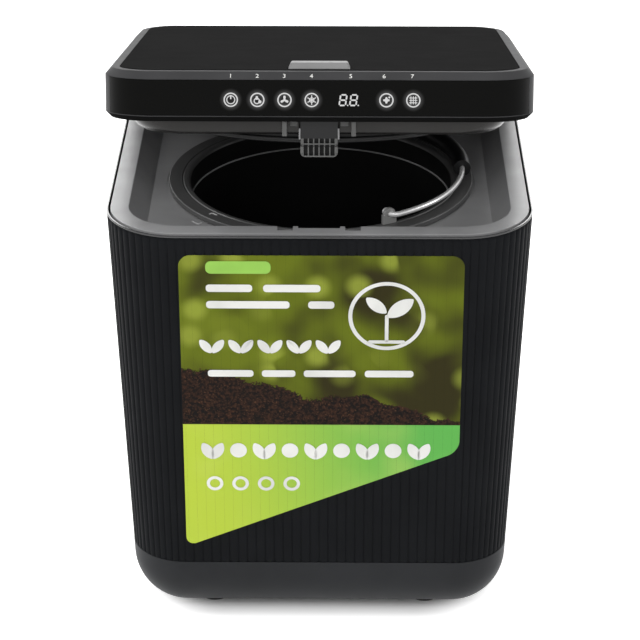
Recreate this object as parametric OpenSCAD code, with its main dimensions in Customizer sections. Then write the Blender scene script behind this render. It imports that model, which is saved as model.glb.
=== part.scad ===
// Electric food waste composter for a worktop: a ribbed casing on four feet, a lift-out bucket with
// a bail handle, a latched lid with a touch panel, and the drive, heater, fan and filter inside.
// Millimetres. Z is up from the floor, the front faces -Y, and X runs to the right seen from the front.

/* [Casing] */
// Outside width of the casing at its top edge
body_w = 279; // [270:1:300]
// Outside depth of the casing at its top edge
body_d = 320; // [316:1:345]
// Height of the rim above the floor
rim_z = 300; // [294:1:320]
// Plan radius of the casing's corners at its top edge
body_r = 48; // [44:1:56]
// Draft of the casing's walls, in degrees
draft = 2.28; // [1.8:0.1:2.8]
// Wall of the ribbed sleeve
sleeve_t = 1.4; // [1.2:0.1:2]
// Height of the seam between the sleeve and the tub
seam_z = 50.6; // [46:1:56]
// Radius of the tub's lower edge
tub_fillet = 36; // [30:1:37]
// Wall of the tub
tub_t = 2.6; // [2:0.2:4]
// Height of the rubber feet
foot_h = 4; // [3:0.5:6]
// Radius of a foot
foot_r = 12; // [9:1:14]

/* [Label] */
// Gap between the label and the left end of the front's flat part
label_left = 1.1; // [0:0.1:8]
// How far the label runs past the right end of the front's flat part
label_right = 2; // [0:0.1:3]
// Distance of the label's top edge below the rim
label_drop = 14.5; // [12:0.5:30]
// Height of the label's lowest edge above the seam
label_rise = 16.4; // [10:0.2:30]
// Height of the slanted edge's right end above its left end
label_slant = 69.8; // [40:0.2:90]
// Radius of the label's corners
label_r = 8; // [4:0.5:12]
// Thickness of the label
label_t = 0.4; // [0.2:0.1:0.6]

/* [Deck] */
// Gap between the deck's rim and the sleeve
rim_gap = 1; // [0.6:0.1:1.4]
// How far the rim stands above the sleeve's top edge
rim_step = 1; // [0.5:0.1:2]
// Width of the flat rim at the sides and the front
rim_w = 12.3; // [11:0.1:14]
// Depth of the deck below the rim
deck_drop = 14.2; // [12:0.2:16]
// Sideways run of the slope between rim and deck
slope_run = 10.8; // [8:0.2:13]
// Wall of the deck moulding
deck_t = 2.2; // [1.8:0.1:3]
// Distance of the recess's back edge before the back of the casing
recess_to_back = 34; // [30:1:40]

/* [Bucket] */
// Gap between the recess's front edge and the bucket's flange
flange_front = 5; // [4:0.2:7]
// Depth of the machine room behind the bucket's flange
back_room = 92.7; // [88:0.1:100]
// Width of the bucket's flange, from the bucket's inner wall outwards
flange_w = 14.8; // [13:0.1:16]
// Wall of the bucket
bucket_t = 2.2; // [1.6:0.1:3]
// Thickness of the bucket's flange
flange_t = 4.2; // [3:0.2:5]
// Height of the bucket, from its base to the top of the flange
bucket_h = 146; // [130:1:150]
// Depth of the fill line below the flange
fill_drop = 15.5; // [12:0.5:22]
// Inward taper of the bucket's wall over its height
bucket_taper = 5; // [3:0.5:8]

/* [Bail] */
// Distance of the bail's wire beyond the bucket's inner wall
bail_out = 7.5; // [6.5:0.1:8]
// Radius of the bail's wire
wire_r = 1.8; // [1.2:0.1:2]
// Radius of the bail's grip
grip_r = 5.8; // [5:0.1:6]
// Angle that the grip covers, seen from the bucket's axis
grip_angle = 62; // [40:1:80]
// Direction of the bail's front pivot, in degrees from +X
bail_dir = -60.7; // [-70:0.5:-50]
// Height of the bail's pivots above the flange
bail_up = 6.8; // [6.4:0.1:7.2]

/* [Lid] */
// Angle at which the lid stands open
lid_open = 13.8; // [6:0.2:18]
// Distance of the lid's sides inside the sides of the casing
lid_side = 2.9; // [1.5:0.1:5]
// Thickness of the lid
lid_t = 31.9; // [30:0.1:34]
// Distance of the lid's front face behind the front of the casing, closed
lid_front = 1.8; // [1:0.1:3]
// How far the lid's back reaches past the back of the casing
lid_past = 1.3; // [0:0.1:3]
// Plan radius of the lid's corners
lid_r = 34; // [28:1:40]
// Radius of the lid's rear corners in plan
lid_rear_r = 46; // [40:1:48]
// Chamfer round the lid's top
lid_chamfer = 4.7; // [3:0.1:6]
// Chamfer round the lid's underside
lid_under = 3.3; // [2:0.1:4]
// Gap between the closed lid and the rim
lid_gap = 1.5; // [1:0.1:2.5]
// Wall of the lid's shell
lid_wall = 2.6; // [2.4:0.1:3]
// Thickness of the touch panel
glass_t = 1.6; // [1.2:0.1:1.8]
// How far back the touch panel wraps round the lid's front corners
glass_wrap = 18; // [12:1:24]
// Depth of the liner's skirt below the lid
skirt_h = 10.2; // [8:0.1:10.5]
// Gap between the round plug under the lid and the bucket's wall
plug_gap = 5; // [4:0.5:9]
// Depth of the plug below the lid
plug_h = 18.5; // [16:0.5:20]
// Radius of the hinge pins
hinge_pin_r = 3; // [2.5:0.1:4]
// Distance of each hinge bracket from the middle
hinge_x = 82; // [60:1:90]

/* [Latch] */
// Width of the latch's tongue
tongue_w = 23.6; // [20:0.2:25]
// Thickness of the latch's tongue
tongue_t = 3.5; // [3:0.1:3.8]
// How far the tongue hangs below the lid
tongue_drop = 23.5; // [22:0.5:24.5]
// Width of the release button at its front
button_w = 39; // [34:1:44]
// Height of the release button above the lid
button_h = 3.8; // [3:0.1:4.5]

/* [Drive] */
// Module of the second gear pair
mod_low = 1.5; // [1.4:0.1:1.5]
// Module of the first gear pair
mod_high = 1; // [0.9:0.1:1]
// Teeth of the output gear
teeth_out = 60; // [60]
// Teeth of both pinions
teeth_pinion = 12; // [12]
// Teeth of the idler's wheel
teeth_idler = 60; // [60]
// Radius of the output shaft
shaft_r = 6; // [5:0.5:7]
// Height of the gearbox's floor above the worktop
gearbox_z = 60; // [58:1:64]
// Running clearance of shafts in their bushes
run_gap = 0.05; // [0.02:0.01:0.1]

/* [Filter] */
// Width of the filter drawer
drawer_w = 118; // [100:2:124]
// Height of the filter drawer
drawer_h = 62; // [50:1:66]
// Height of the drawer's floor above the worktop
drawer_z = 172; // [168:1:176]
// Clearance round the drawer in its housing
drawer_gap = 0.6; // [0.4:0.1:1]

/* [Hidden] */

$fn = 64;
corner_steps = 8;

// Lid hinge: the lid's back is a barrel about the pins
lid_hw = body_w / 2 - lid_side;
lid_back = body_d + lid_past;
hinge_r = lid_t / 2;
hinge_z = rim_z + lid_gap + hinge_r;
hinge_v = lid_back - hinge_r;
lid_z = rim_z + lid_gap;
lid_top = lid_z + lid_t;

// The frame's origin is under the middle of the part with its lid as it stands
back_reach = hinge_v + hinge_r;
front_y = -max(body_d, back_reach) / 2;
function vy(v) = front_y + v;
hinge_y = vy(hinge_v);

// Casing
sleeve_top = rim_z - rim_step;
function half_w(z) = body_w / 2 - (sleeve_top - z) * tan(draft);
function half_d(z) = body_d / 2 - (sleeve_top - z) * tan(draft);
function plan_r(z) = body_r - (sleeve_top - z) * tan(draft);
body_cy = vy(body_d / 2);
rim_hw = body_w / 2 - sleeve_t - rim_gap;
rim_hd = body_d / 2 - sleeve_t - rim_gap;
rim_r = body_r - sleeve_t - rim_gap;
rim_skirt = 12;
deck_z = rim_z - deck_drop;
flat_hw = body_w / 2 - body_r;

// Recess in the deck
recess_hw = rim_hw - rim_w;
recess_v0 = body_d / 2 - rim_hd + rim_w;
recess_back = body_d - recess_to_back;
recess_r = rim_r - rim_w;

// Label
label_x0 = label_left - flat_hw;
label_x1 = flat_hw + label_right;
label_z1 = rim_z - label_drop;
label_z0 = seam_z + label_rise;

// The bucket takes the depth that the machine room behind it leaves
flange_r = (body_d - recess_v0 - flange_front - back_room) / 2;
bucket_back = recess_v0 + flange_front + flange_r;
bucket_y = vy(bucket_back);
bucket_ri = flange_r - flange_w;
plug_r = bucket_ri - plug_gap;
seat_r = bucket_ri + bucket_t + 5.8;
seat_gap = 1.5;
seat_drop = 0.3;
flange_z = deck_z + flange_t;
base_z = flange_z - bucket_h;

// Chamber under the deck
chamber_r = bucket_ri + bucket_t + 3.6;
chamber_t = 1.8;
chamber_flange_r = chamber_r + 8;
chamber_flange_t = 2;
chamber_floor = base_z - 2.4;
heater_t = 5;
heater_r = chamber_r - 12;
jacket_t = 7;
dome_r = 25;
dome_h = 14;
floor_t = 2.6;

// Latch
pivot_v = 38;
pivot_z = lid_z + 12.4;
latch_pin_r = 2;
tongue_v = 13;
tongue_foot = lid_z - tongue_drop;
hook_reach = 2.8;
hook_h = 4;
lip_v = tongue_v - hook_reach + 1.4;
lip_h = 12;
pocket_hw = tongue_w / 2 + 1.7;
notch_x = 21.8;
rib_w = 3;
button_v = 17;
button_d = 14;
stem_v = button_v + 6;
pad_z = pivot_z + 5;
deck_floor_z = deck_z - deck_t;

// Bail
bail_r = bucket_ri + bail_out;
bail_z = flange_z + bail_up;
lug_r0 = bucket_ri + 2.4;
lug_t = 2.8;
tip_r = lug_r0 - 3.4;

// Gear train
dist_low = mod_low * (teeth_out + teeth_pinion) / 2;
dist_high = mod_high * (teeth_idler + teeth_pinion) / 2;
idler_dir = 115;
motor_dir = 35;
idler_x = dist_low * cos(idler_dir);
idler_y = bucket_y + dist_low * sin(idler_dir);
motor_x = idler_x + dist_high * cos(motor_dir);
motor_y = idler_y + dist_high * sin(motor_dir);
tray_t = 3;
tray_floor = gearbox_z + tray_t;
wheel_lift = 5;
wheel_z = tray_floor + wheel_lift;
wheel_t = 9;
pair_gap = 2;
pair_z = wheel_z + wheel_t + pair_gap;
pair_t = 14;
cover_gap = 6;
gearbox_top = pair_z + pair_t + cover_gap;
tray_r = 8;
tray_wall = 2.4;
idler_shaft_r = 3;
motor_shaft_r = 2.5;
motor_boss_r = 6.5;
motor_r = 21;
motor_h = 50;
shaft_top = chamber_floor + chamber_t + 4;
dog_z = chamber_floor + chamber_t + 1;
dog_r = 15;
dog_base = 3.5;
jaw_h = 3.6;
jaw_turn = 60;
paddle_dog_z = dog_z + dog_base + 0.6;
paddle_r = 5;
hub_z = base_z + dome_h + floor_t + 3;
hub_h = 22;

// Back of the casing
panel_side = 13.5;
panel_hw = flat_hw - panel_side;
panel_z0 = 62;
panel_z1 = 252;
panel_t = 2.4;
panel_gap = 0.4;
hole = 0.4;
face_lap = 4;

// Machine room behind the bucket: the filter drawer in its housing, and the fan under it
room_v = body_d - back_room;
drawer_set = 8;
drawer_v1 = body_d - drawer_set;
house_t = 1.8;
house_share = 0.262;
house_v0 = room_v + house_share * back_room;
drawer_d = drawer_v1 - house_v0 - house_t - drawer_gap;
fan_wall = 1.8;
fan_play = 2;
fan_front = 2.9;
fan_rear = 14.2;
fan_out_r = (back_room - fan_front - fan_rear) / 2;
fan_r = fan_out_r - fan_wall - fan_play;
fan_v = room_v + fan_front + fan_out_r;
fan_h = 26;
fan_z = drawer_z - drawer_gap - house_t - fan_h;
fan_eye = 0.41 * fan_r;
fan_pin_r = 2;
fan_out_x = 6;
grille_hw = 42;
grille_back = 3.2;
grille_v0 = house_v0;
grille_v1 = recess_back - slope_run - grille_back;

// Mains board on edge at the left wall
power_side = 16;
power_z0 = 78;
power_h = 72;
power_v0 = room_v + 4.7;
power_l = 68;

// Mains inlet
inlet_x = 50;
inlet_z = 88;
inlet_w = 27;
inlet_h = 20;

// Inside of the lid
top_panel_t = 1.4;
panel_edge = 4.4;
panel_ledge = 4;
panel_gap_lid = 0.3;
top_hw = lid_hw - lid_chamfer - panel_edge;
top_v0 = lid_front + lid_chamfer + panel_edge;
top_v1 = hinge_v - 2;
top_r = lid_r - lid_chamfer - panel_edge;
glass_z0 = lid_z + lid_under + 0.6;
glass_z1 = lid_top - lid_chamfer - 0.6;
board_v = lid_front + lid_wall + 4.2;
board_t = 1.6;
liner_gap = 3.8;
liner_hw = recess_hw - liner_gap;
liner_v0 = recess_v0 - 0.7;
liner_v1 = recess_back - 7;
liner_z = lid_z + 5.5;

// Hinge brackets and the slots that take them in the lid's barrel
bracket_hw = 5;
bracket_r = 7;
leg_v = 6;
slot_hw = 6.2;
slot_r = 8.4;
pin_hw = 14;
bracket_z = rim_z - 8;
magnet_x = 60;
magnet_w = 12;
magnet_v = 8;
magnet_d = 4.5;
magnet_h = 5;

// Outline of a rectangle with round corners, counter-clockwise, at height z
function ring(hx, hy, r, cy, z) = [
    for (q = [0:3], i = [0:corner_steps])
        let (a = q * 90 + i * 90 / corner_steps,
            sx = (q == 0 || q == 3) ? 1 : -1, sy = q < 2 ? 1 : -1)
        [sx * (hx - r) + r * cos(a), cy + sy * (hy - r) + r * sin(a), z]];

// A ring of the casing's outside at height z, drawn in by inset
function casing_ring(z, inset) = ring(half_w(z) - inset, half_d(z) - inset,
    max(plan_r(z) - inset, 1), body_cy, z);

// Skin over a stack of rings of equal count; looped stacks close on themselves, others get caps
module loft(rings, looped = false) {
    n = len(rings[0]);
    m = len(rings);
    spans = looped ? m : m - 1;
    sides = [for (k = [0:spans - 1], i = [0:n - 1])
        let (a = k * n, b = ((k + 1) % m) * n, j = (i + 1) % n)
        each [[a + i, b + i, b + j], [a + i, b + j, a + j]]];
    caps = looped ? [] : [[for (i = [0:n - 1]) i], [for (i = [n - 1:-1:0]) (m - 1) * n + i]];
    polyhedron([for (r = rings) each r], concat(sides, caps));
}

// Flat plan shape with exact round corners
module plan(hx, hy, r) {
    square([2 * hx, 2 * (hy - r)], center = true);
    square([2 * (hx - r), 2 * hy], center = true);
    for (sx = [-1, 1], sy = [-1, 1]) translate([sx * (hx - r), sy * (hy - r)]) circle(r);
}

module slab(hx, v0, v1, r, z0, z1) {
    translate([0, vy((v0 + v1) / 2), z0]) linear_extrude(z1 - z0) plan(hx, (v1 - v0) / 2, r);
}

module block(x0, x1, v0, v1, z0, z1) {
    translate([x0, vy(v0), z0]) cube([x1 - x0, v1 - v0, z1 - z0]);
}

// Cylinder along X from x0 to x1
module bar_x(x0, x1, v, z, r) {
    translate([x0, vy(v), z]) rotate([0, 90, 0]) cylinder(h = x1 - x0, r = r);
}

module post(x, y, z0, z1, r) {
    translate([x, y, z0]) cylinder(h = z1 - z0, r = r);
}

module pipe(r_out, r_in, h) {
    difference() {
        cylinder(h = h, r = r_out);
        translate([0, 0, -1]) cylinder(h = h + 2, r = r_in);
    }
}

module on_axis(z) { translate([0, bucket_y, z]) children(); }

// The lid and what it carries are drawn closed, then turned to where the lid stands
module lid_pose() {
    translate([0, hinge_y, hinge_z]) rotate([-lid_open, 0, 0]) translate([0, -hinge_y, -hinge_z])
        children();
}

// Screw with a pan head, standing head down
module screw(r, l, head_r, head_h) {
    cylinder(h = head_h, r = head_r);
    translate([0, 0, head_h]) cylinder(h = l, r = r);
}

// Foot and screw places on the tub
foot_side = 65.5;
foot_x = body_w / 2 - foot_side;
foot_v0 = 52;
foot_v1 = body_d - foot_v0;
foot_screw_r = 2;

module feet_at(z) {
    for (sx = [-1, 1], v = [foot_v0, foot_v1]) translate([sx * foot_x, vy(v), z]) children();
}

module ribbed_sleeve() {
    edge = 0.8;
    color([0.15, 0.16, 0.17]) difference() {
        loft([casing_ring(seam_z, 0), casing_ring(sleeve_top - edge, 0),
            casing_ring(sleeve_top - edge / 3, edge / 6), casing_ring(sleeve_top, edge / 2),
            casing_ring(sleeve_top, sleeve_t), casing_ring(seam_z, sleeve_t)], looped = true);
        block(-panel_hw, panel_hw, body_d - 40, body_d + 10, panel_z0, panel_z1);
    }
}

// Ring of the tub at the angle a round its lower edge, 0 underneath and 90 on the wall
function tub_ring(a, wall) = let (z = foot_h + tub_fillet * (1 - cos(a)))
    casing_ring(z + wall * cos(a), wall * sin(a) + tub_fillet * (1 - sin(a)));

module base_tub() {
    turns = [for (a = [6:12:90]) a];
    gap = 0.3;
    lip = 6;
    lip_in = sleeve_t + 0.2;
    outer = concat([tub_ring(0, 0)], [for (a = turns) tub_ring(a, 0)],
        [casing_ring(seam_z - gap, 0), casing_ring(seam_z - gap, lip_in),
            casing_ring(seam_z + lip, lip_in), casing_ring(seam_z + lip, lip_in + tub_t)]);
    inner = concat([casing_ring(seam_z - gap, lip_in + tub_t)],
        [for (i = [len(turns) - 1:-1:0]) tub_ring(turns[i], tub_t + 1.4)],
        [casing_ring(foot_h + tub_t, tub_fillet + 1)]);
    color([0.2, 0.2, 0.21]) difference() {
        union() {
            loft(concat(outer, inner));
            feet_at(foot_h + tub_t) cylinder(h = 12, r = 5);
            translate([idler_x, idler_y, foot_h + tub_t]) cylinder(h = gearbox_z - foot_h - tub_t, r = 7);
            for (a = [-150, -90, -30]) on_axis(foot_h + tub_t) rotate(a) translate([44, 0, 0])
                cylinder(h = gearbox_z - foot_h - tub_t, r = 7);
        }
        feet_at(foot_h - 1) cylinder(h = 12 + tub_t, r = foot_screw_r);
    }
}

module recess(grow) {
    low = deck_drop + 0.01;
    hull() {
        slab(recess_hw + grow, recess_v0 - grow, recess_back + grow, recess_r, rim_z - grow, rim_z + 1,
            $fn = 32);
        slab(recess_hw - slope_run + grow, recess_v0 + slope_run - grow, recess_back - slope_run + grow,
            recess_r - slope_run / 2, rim_z - low - grow, rim_z - low - grow + 0.01, $fn = 32);
    }
}

// Block of the deck's outline, drawn in by inset
module deck_slab(inset, z0, z1) {
    slab(rim_hw - inset, body_d / 2 - rim_hd + inset, body_d / 2 + rim_hd - inset, rim_r - inset, z0, z1);
}

// Room under the rim at the front and the sides; the latch's lip and the back stay solid
module rim_hollow() {
    lip_x = pocket_hw + deck_t;
    back = recess_back - slope_run;
    difference() {
        deck_slab(deck_t, deck_floor_z - 1, rim_z - deck_t);
        recess(deck_t);
        block(-lip_x, lip_x, -1, recess_v0 + slope_run, deck_floor_z - 2, rim_z);
        block(-body_w, body_w, back, body_d + 1, deck_floor_z - 2, rim_z);
    }
}

module top_deck() {
    foot_inset = 4;
    bracket_hole = bracket_hw + 1;
    hook_room = 4.6;
    lead_in = 3.6;
    notch_hw = 5;
    color([0.3, 0.3, 0.3]) difference() {
        union() {
            deck_slab(0, rim_z - rim_skirt, rim_z);
            deck_slab(foot_inset, deck_floor_z, rim_z - rim_skirt + 1);
        }
        recess(0);
        rim_hollow();
        // Well for the bucket's flange and the hole for the bucket
        on_axis(deck_z - seat_drop) cylinder(h = deck_drop + 1, r = flange_r + seat_gap);
        on_axis(deck_floor_z - 1) cylinder(h = deck_drop, r = seat_r);
        // Pocket for the latch's hook, with its lead-in and the notches for the liner's ribs
        block(-pocket_hw, pocket_hw, lip_v - hook_room, bucket_back, deck_floor_z - 1, rim_z - lip_h);
        block(-pocket_hw, pocket_hw, lip_v, recess_v0 + slope_run + 8, deck_floor_z - 1, rim_z + 1);
        translate([-pocket_hw, vy(lip_v), rim_z - lip_h]) rotate([0, 90, 0]) linear_extrude(2 * pocket_hw)
            polygon([[0, 0.01], [0, 0], [-lip_h - 1, -lead_in], [-lip_h - 1, 0.01]]);
        for (s = [-1, 1]) translate([s * notch_x, 0, 0])
            block(-notch_hw, notch_hw, lip_v - lead_in, recess_v0 + slope_run, deck_z, rim_z + 1);
        // Openings for the grille and the hinge brackets
        block(-grille_hw, grille_hw, grille_v0, grille_v1, deck_floor_z - 1, deck_z + 1);
        for (s = [-1, 1]) translate([s * hinge_x, 0, 0])
            block(-bracket_hole, bracket_hole, hinge_v - leg_v - 1, hinge_v + leg_v + 1, bracket_z,
                rim_z + 1);
    }
}

// Slots that go through a panel along Y
module slots_y(x0, x1, n, w, z0, z1) {
    for (i = [0:n - 1]) block(x0 + (x1 - x0) * i / (n - 1) - w / 2, x0 + (x1 - x0) * i / (n - 1) + w / 2,
        body_d - 60, body_d + 20, z0, z1);
}

// Turns what is drawn upright at the casing's top edge to lie along its back wall
module back_wall() {
    translate([0, vy(body_d), sleeve_top]) rotate([-draft, 0, 0]) translate([0, -vy(body_d), -sleeve_top])
        children();
}

module rear_panel() {
    face_x = drawer_w / 2 + face_lap + hole;
    color([0.17, 0.17, 0.18]) difference() {
        back_wall() block(-panel_hw + panel_gap, panel_hw - panel_gap, body_d - panel_t, body_d,
            panel_z0 + panel_gap, panel_z1 - panel_gap);
        block(-face_x, face_x, body_d - 60, body_d + 20, drawer_z - face_lap - hole,
            drawer_z + drawer_h + face_lap + hole);
        slots_y(-fan_r, fan_out_x - 4, 8, 2.6, fan_z + 4, fan_z + fan_h - 8);
        block(inlet_x - inlet_w / 2 - hole / 2, inlet_x + inlet_w / 2 + hole / 2, body_d - 60, body_d + 20,
            inlet_z - inlet_h / 2 - hole / 2, inlet_z + inlet_h / 2 + hole / 2);
    }
}

module rubber_feet() {
    color([0.08, 0.08, 0.08]) feet_at(0) difference() {
        union() {
            cylinder(h = foot_h - 1.2, r = foot_r - 1);
            translate([0, 0, 1]) cylinder(h = foot_h - 1, r = foot_r);
        }
        translate([0, 0, -1]) cylinder(h = foot_h + 2, r = foot_screw_r);
        translate([0, 0, -1]) cylinder(h = foot_h, r = 4.5);
    }
}

module base_screws() {
    color("silver") feet_at(foot_h - 3) screw(foot_screw_r, 12, 4, 2);
}

// Film on the casing's front, with a slanted lower edge
module front_label() {
    low = label_z0 + label_r;
    corners = [[label_x0 + label_r, label_z1 - label_r], [label_x1 - label_r, label_z1 - label_r],
        [label_x0 + label_r, low], [label_x1 - label_r, low + label_slant]];
    color([0.66, 0.78, 0.3]) front_wall() translate([0, vy(-label_t), 0]) rotate([90, 0, 0])
        mirror([0, 0, 1]) linear_extrude(label_t) hull() {
            for (p = corners) translate(p) circle(label_r);
        }
}

// Turns what is drawn upright at the casing's top edge to lie along its front wall
module front_wall() {
    translate([0, vy(0), sleeve_top]) rotate([draft, 0, 0]) translate([0, -vy(0), -sleeve_top])
        children();
}

module chamber_pot() {
    top = deck_floor_z;
    color([0.62, 0.62, 0.62]) on_axis(0) difference() {
        union() {
            translate([0, 0, chamber_floor]) cylinder(h = top - chamber_floor, r = chamber_r + chamber_t);
            translate([0, 0, top - chamber_flange_t]) cylinder(h = chamber_flange_t, r = chamber_flange_r);
        }
        translate([0, 0, chamber_floor + chamber_t]) cylinder(h = bucket_h, r = chamber_r);
        translate([0, 0, chamber_floor - 1]) cylinder(h = 10, r = shaft_r + 5);
    }
}

module heater_plate() {
    color([0.75, 0.7, 0.6]) on_axis(chamber_floor - heater_t) pipe(heater_r, dome_r + 6, heater_t);
}

module insulation_jacket() {
    z0 = chamber_floor;
    z1 = deck_floor_z - chamber_flange_t - 1;
    r = chamber_r + chamber_t;
    color([0.85, 0.83, 0.78]) on_axis(z0) pipe(r + jacket_t, r, z1 - z0);
}

module thermostat() {
    at_x = heater_r - 22.8;
    color([0.8, 0.78, 0.7]) on_axis(chamber_floor - heater_t - 9) translate([at_x, 0, 0]) {
        cylinder(h = 9, r = 8);
        translate([-12, -3.5, 7]) cube([24, 7, 1]);
        for (s = [-1, 1]) translate([s * 3.5 - 0.4, -3, -8]) cube([0.8, 6, 8]);
    }
}

module shaft_seal() {
    color([0.1, 0.1, 0.1]) on_axis(chamber_floor - 3) difference() {
        union() {
            cylinder(h = 3 + chamber_t, r = shaft_r + 5);
            cylinder(h = 3, r = shaft_r + 8);
        }
        translate([0, 0, -1]) cylinder(h = 10, r = shaft_r + run_gap);
    }
}

// Outline of a spur gear with straight-sided teeth
function gear_points(m, n) = let (rp = m * n / 2, ra = rp + m * 0.9, rf = rp - m * 1.2, p = 360 / n)
    [for (i = [0:n - 1]) each [
        [rf, i * p - p * 0.33], [rp, i * p - p * 0.225], [ra, i * p - p * 0.11],
        [ra, i * p + p * 0.11], [rp, i * p + p * 0.225], [rf, i * p + p * 0.33]]];

module spur(m, n, h, turn) {
    linear_extrude(h) rotate(turn)
        polygon([for (q = gear_points(m, n)) [q[0] * cos(q[1]), q[0] * sin(q[1])]]);
}

module gearbox_outline(grow) {
    hull() {
        translate([0, bucket_y]) circle(mod_low * teeth_out / 2 + tray_r + grow, $fn = 48);
        translate([idler_x, idler_y]) circle(mod_high * teeth_idler / 2 + tray_r + grow, $fn = 48);
        translate([motor_x, motor_y]) circle(motor_r + grow, $fn = 48);
    }
}

// Directions of the gearbox's screw lugs, seen from the bucket's axis
gear_screws = [-80, -10, 200];
gear_screw_at = mod_low * teeth_out / 2 + tray_r + 2.5;
gear_screw_r = 1.6;
gear_lug_r = 4.5;
cover_t = 3;

module gear_screw_places(z) {
    for (a = gear_screws) on_axis(z) rotate(a) translate([gear_screw_at, 0, 0]) children();
}

module gearbox_tray() {
    hole_h = 12;
    color([0.8, 0.8, 0.78]) difference() {
        union() {
            translate([0, 0, gearbox_z]) linear_extrude(gearbox_top - gearbox_z) gearbox_outline(0);
            gear_screw_places(gearbox_z) cylinder(h = gearbox_top - gearbox_z, r = gear_lug_r);
        }
        translate([0, 0, tray_floor]) linear_extrude(gearbox_top) gearbox_outline(-tray_wall);
        post(0, bucket_y, gearbox_z - 1, gearbox_top, shaft_r + run_gap);
        post(idler_x, idler_y, gearbox_z - 1, gearbox_top, idler_shaft_r);
        post(motor_x, motor_y, gearbox_z - 1, gearbox_top, motor_boss_r);
        gear_screw_places(gearbox_top - hole_h) cylinder(h = hole_h + 1, r = gear_screw_r);
    }
}

module gearbox_cover() {
    boss_h = 9;
    color([0.72, 0.72, 0.7]) difference() {
        union() {
            translate([0, 0, gearbox_top]) linear_extrude(cover_t) gearbox_outline(0);
            on_axis(gearbox_top) cylinder(h = boss_h, r = shaft_r + 5);
            gear_screw_places(gearbox_top) cylinder(h = cover_t, r = gear_lug_r);
        }
        on_axis(gearbox_top - 1) cylinder(h = boss_h + 2, r = shaft_r + run_gap);
        post(idler_x, idler_y, gearbox_top - 1, gearbox_top + cover_t + 1, idler_shaft_r);
        gear_screw_places(gearbox_top - 1) cylinder(h = cover_t + 2, r = gear_screw_r);
    }
}

module gearbox_screws() {
    length = 12;
    color("silver") gear_screw_places(gearbox_top + cover_t) {
        translate([0, 0, -length]) cylinder(h = length, r = gear_screw_r);
        cylinder(h = 1.8, r = 2 * gear_screw_r);
    }
}

module drive_motor() {
    top = gearbox_z;
    color([0.6, 0.6, 0.62]) translate([motor_x, motor_y, 0]) difference() {
        union() {
            translate([0, 0, top - motor_h]) cylinder(h = motor_h, r = motor_r);
            translate([0, 0, top]) cylinder(h = 2, r = motor_boss_r);
        }
        translate([0, 0, top - motor_h + 6]) cylinder(h = motor_h, r = motor_shaft_r + run_gap);
    }
}

module motor_shaft() {
    color("silver") post(motor_x, motor_y, gearbox_z - motor_h + 7, wheel_z + wheel_t + 1, motor_shaft_r);
}

module motor_pinion() {
    turn = motor_dir + 180 + 180 / teeth_pinion;
    color([0.8, 0.7, 0.4]) translate([motor_x, motor_y, wheel_z - 1]) difference() {
        spur(mod_high, teeth_pinion, wheel_t + 1, turn);
        translate([0, 0, -1]) cylinder(h = wheel_t + 3, r = motor_shaft_r);
    }
}

module idler_gear() {
    pinion_turn = idler_dir + 180 + 180 / teeth_pinion;
    color([0.9, 0.9, 0.88]) translate([idler_x, idler_y, 0]) difference() {
        union() {
            translate([0, 0, wheel_z]) spur(mod_high, teeth_idler, wheel_t, motor_dir);
            translate([0, 0, wheel_z + wheel_t])
                spur(mod_low, teeth_pinion, pair_gap + pair_t + 1, pinion_turn);
        }
        cylinder(h = gearbox_top, r = idler_shaft_r + run_gap);
    }
}

module idler_shaft() {
    color("silver") post(idler_x, idler_y, gearbox_z, gearbox_top + cover_t, idler_shaft_r);
}

module output_gear() {
    color([0.9, 0.9, 0.88]) on_axis(0) difference() {
        translate([0, 0, pair_z]) spur(mod_low, teeth_out, pair_t, idler_dir);
        cylinder(h = gearbox_top, r = shaft_r);
    }
}

module output_shaft() {
    color("silver") post(0, bucket_y, gearbox_z + 1, shaft_top, shaft_r);
}

// Three jaws of a coupling, turned by turn, h tall
module jaws(turn, h) {
    for (i = [0:2]) rotate(turn + i * 120) linear_extrude(h) intersection() {
        difference() {
            circle(dog_r - 0.5);
            circle(shaft_r + 2.5);
        }
        polygon([[0, 0], [40, -14], [40, 14]]);
    }
}

module drive_dog() {
    color([0.7, 0.7, 0.72]) on_axis(dog_z) difference() {
        union() {
            cylinder(h = dog_base, r = dog_r);
            translate([0, 0, dog_base - 1]) jaws(0, jaw_h + 1);
        }
        translate([0, 0, -1]) cylinder(h = 20, r = shaft_r);
    }
}

module paddle_dog() {
    color([0.7, 0.7, 0.72]) on_axis(paddle_dog_z) difference() {
        union() {
            translate([0, 0, jaw_h]) cylinder(h = 3, r = dog_r);
            jaws(jaw_turn, jaw_h + 1);
        }
        translate([0, 0, -1]) cylinder(h = 20, r = paddle_r);
    }
}

// Outline of the fan's scroll with its outlet to the back
module scroll(r, x0, x1, v1) {
    translate([0, vy(fan_v)]) circle(r);
    translate([x0, vy(fan_v)]) square([x1 - x0, v1 - fan_v]);
}

module fan_housing() {
    r_in = fan_r + fan_play;
    outlet_v = body_d - 9;
    color([0.12, 0.12, 0.13]) {
        difference() {
            translate([0, 0, fan_z]) linear_extrude(fan_h)
                scroll(fan_out_r, -fan_out_r, fan_out_x, outlet_v);
            translate([0, 0, fan_z + fan_wall]) linear_extrude(fan_h - 2 * fan_wall)
                scroll(r_in, -r_in, fan_out_x - fan_wall, body_d);
            post(0, vy(fan_v), fan_z + fan_wall, fan_z + fan_h + 1, fan_eye);
        }
        post(0, vy(fan_v), fan_z + 0.5, fan_z + fan_h - 5, fan_pin_r);
    }
}

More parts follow.
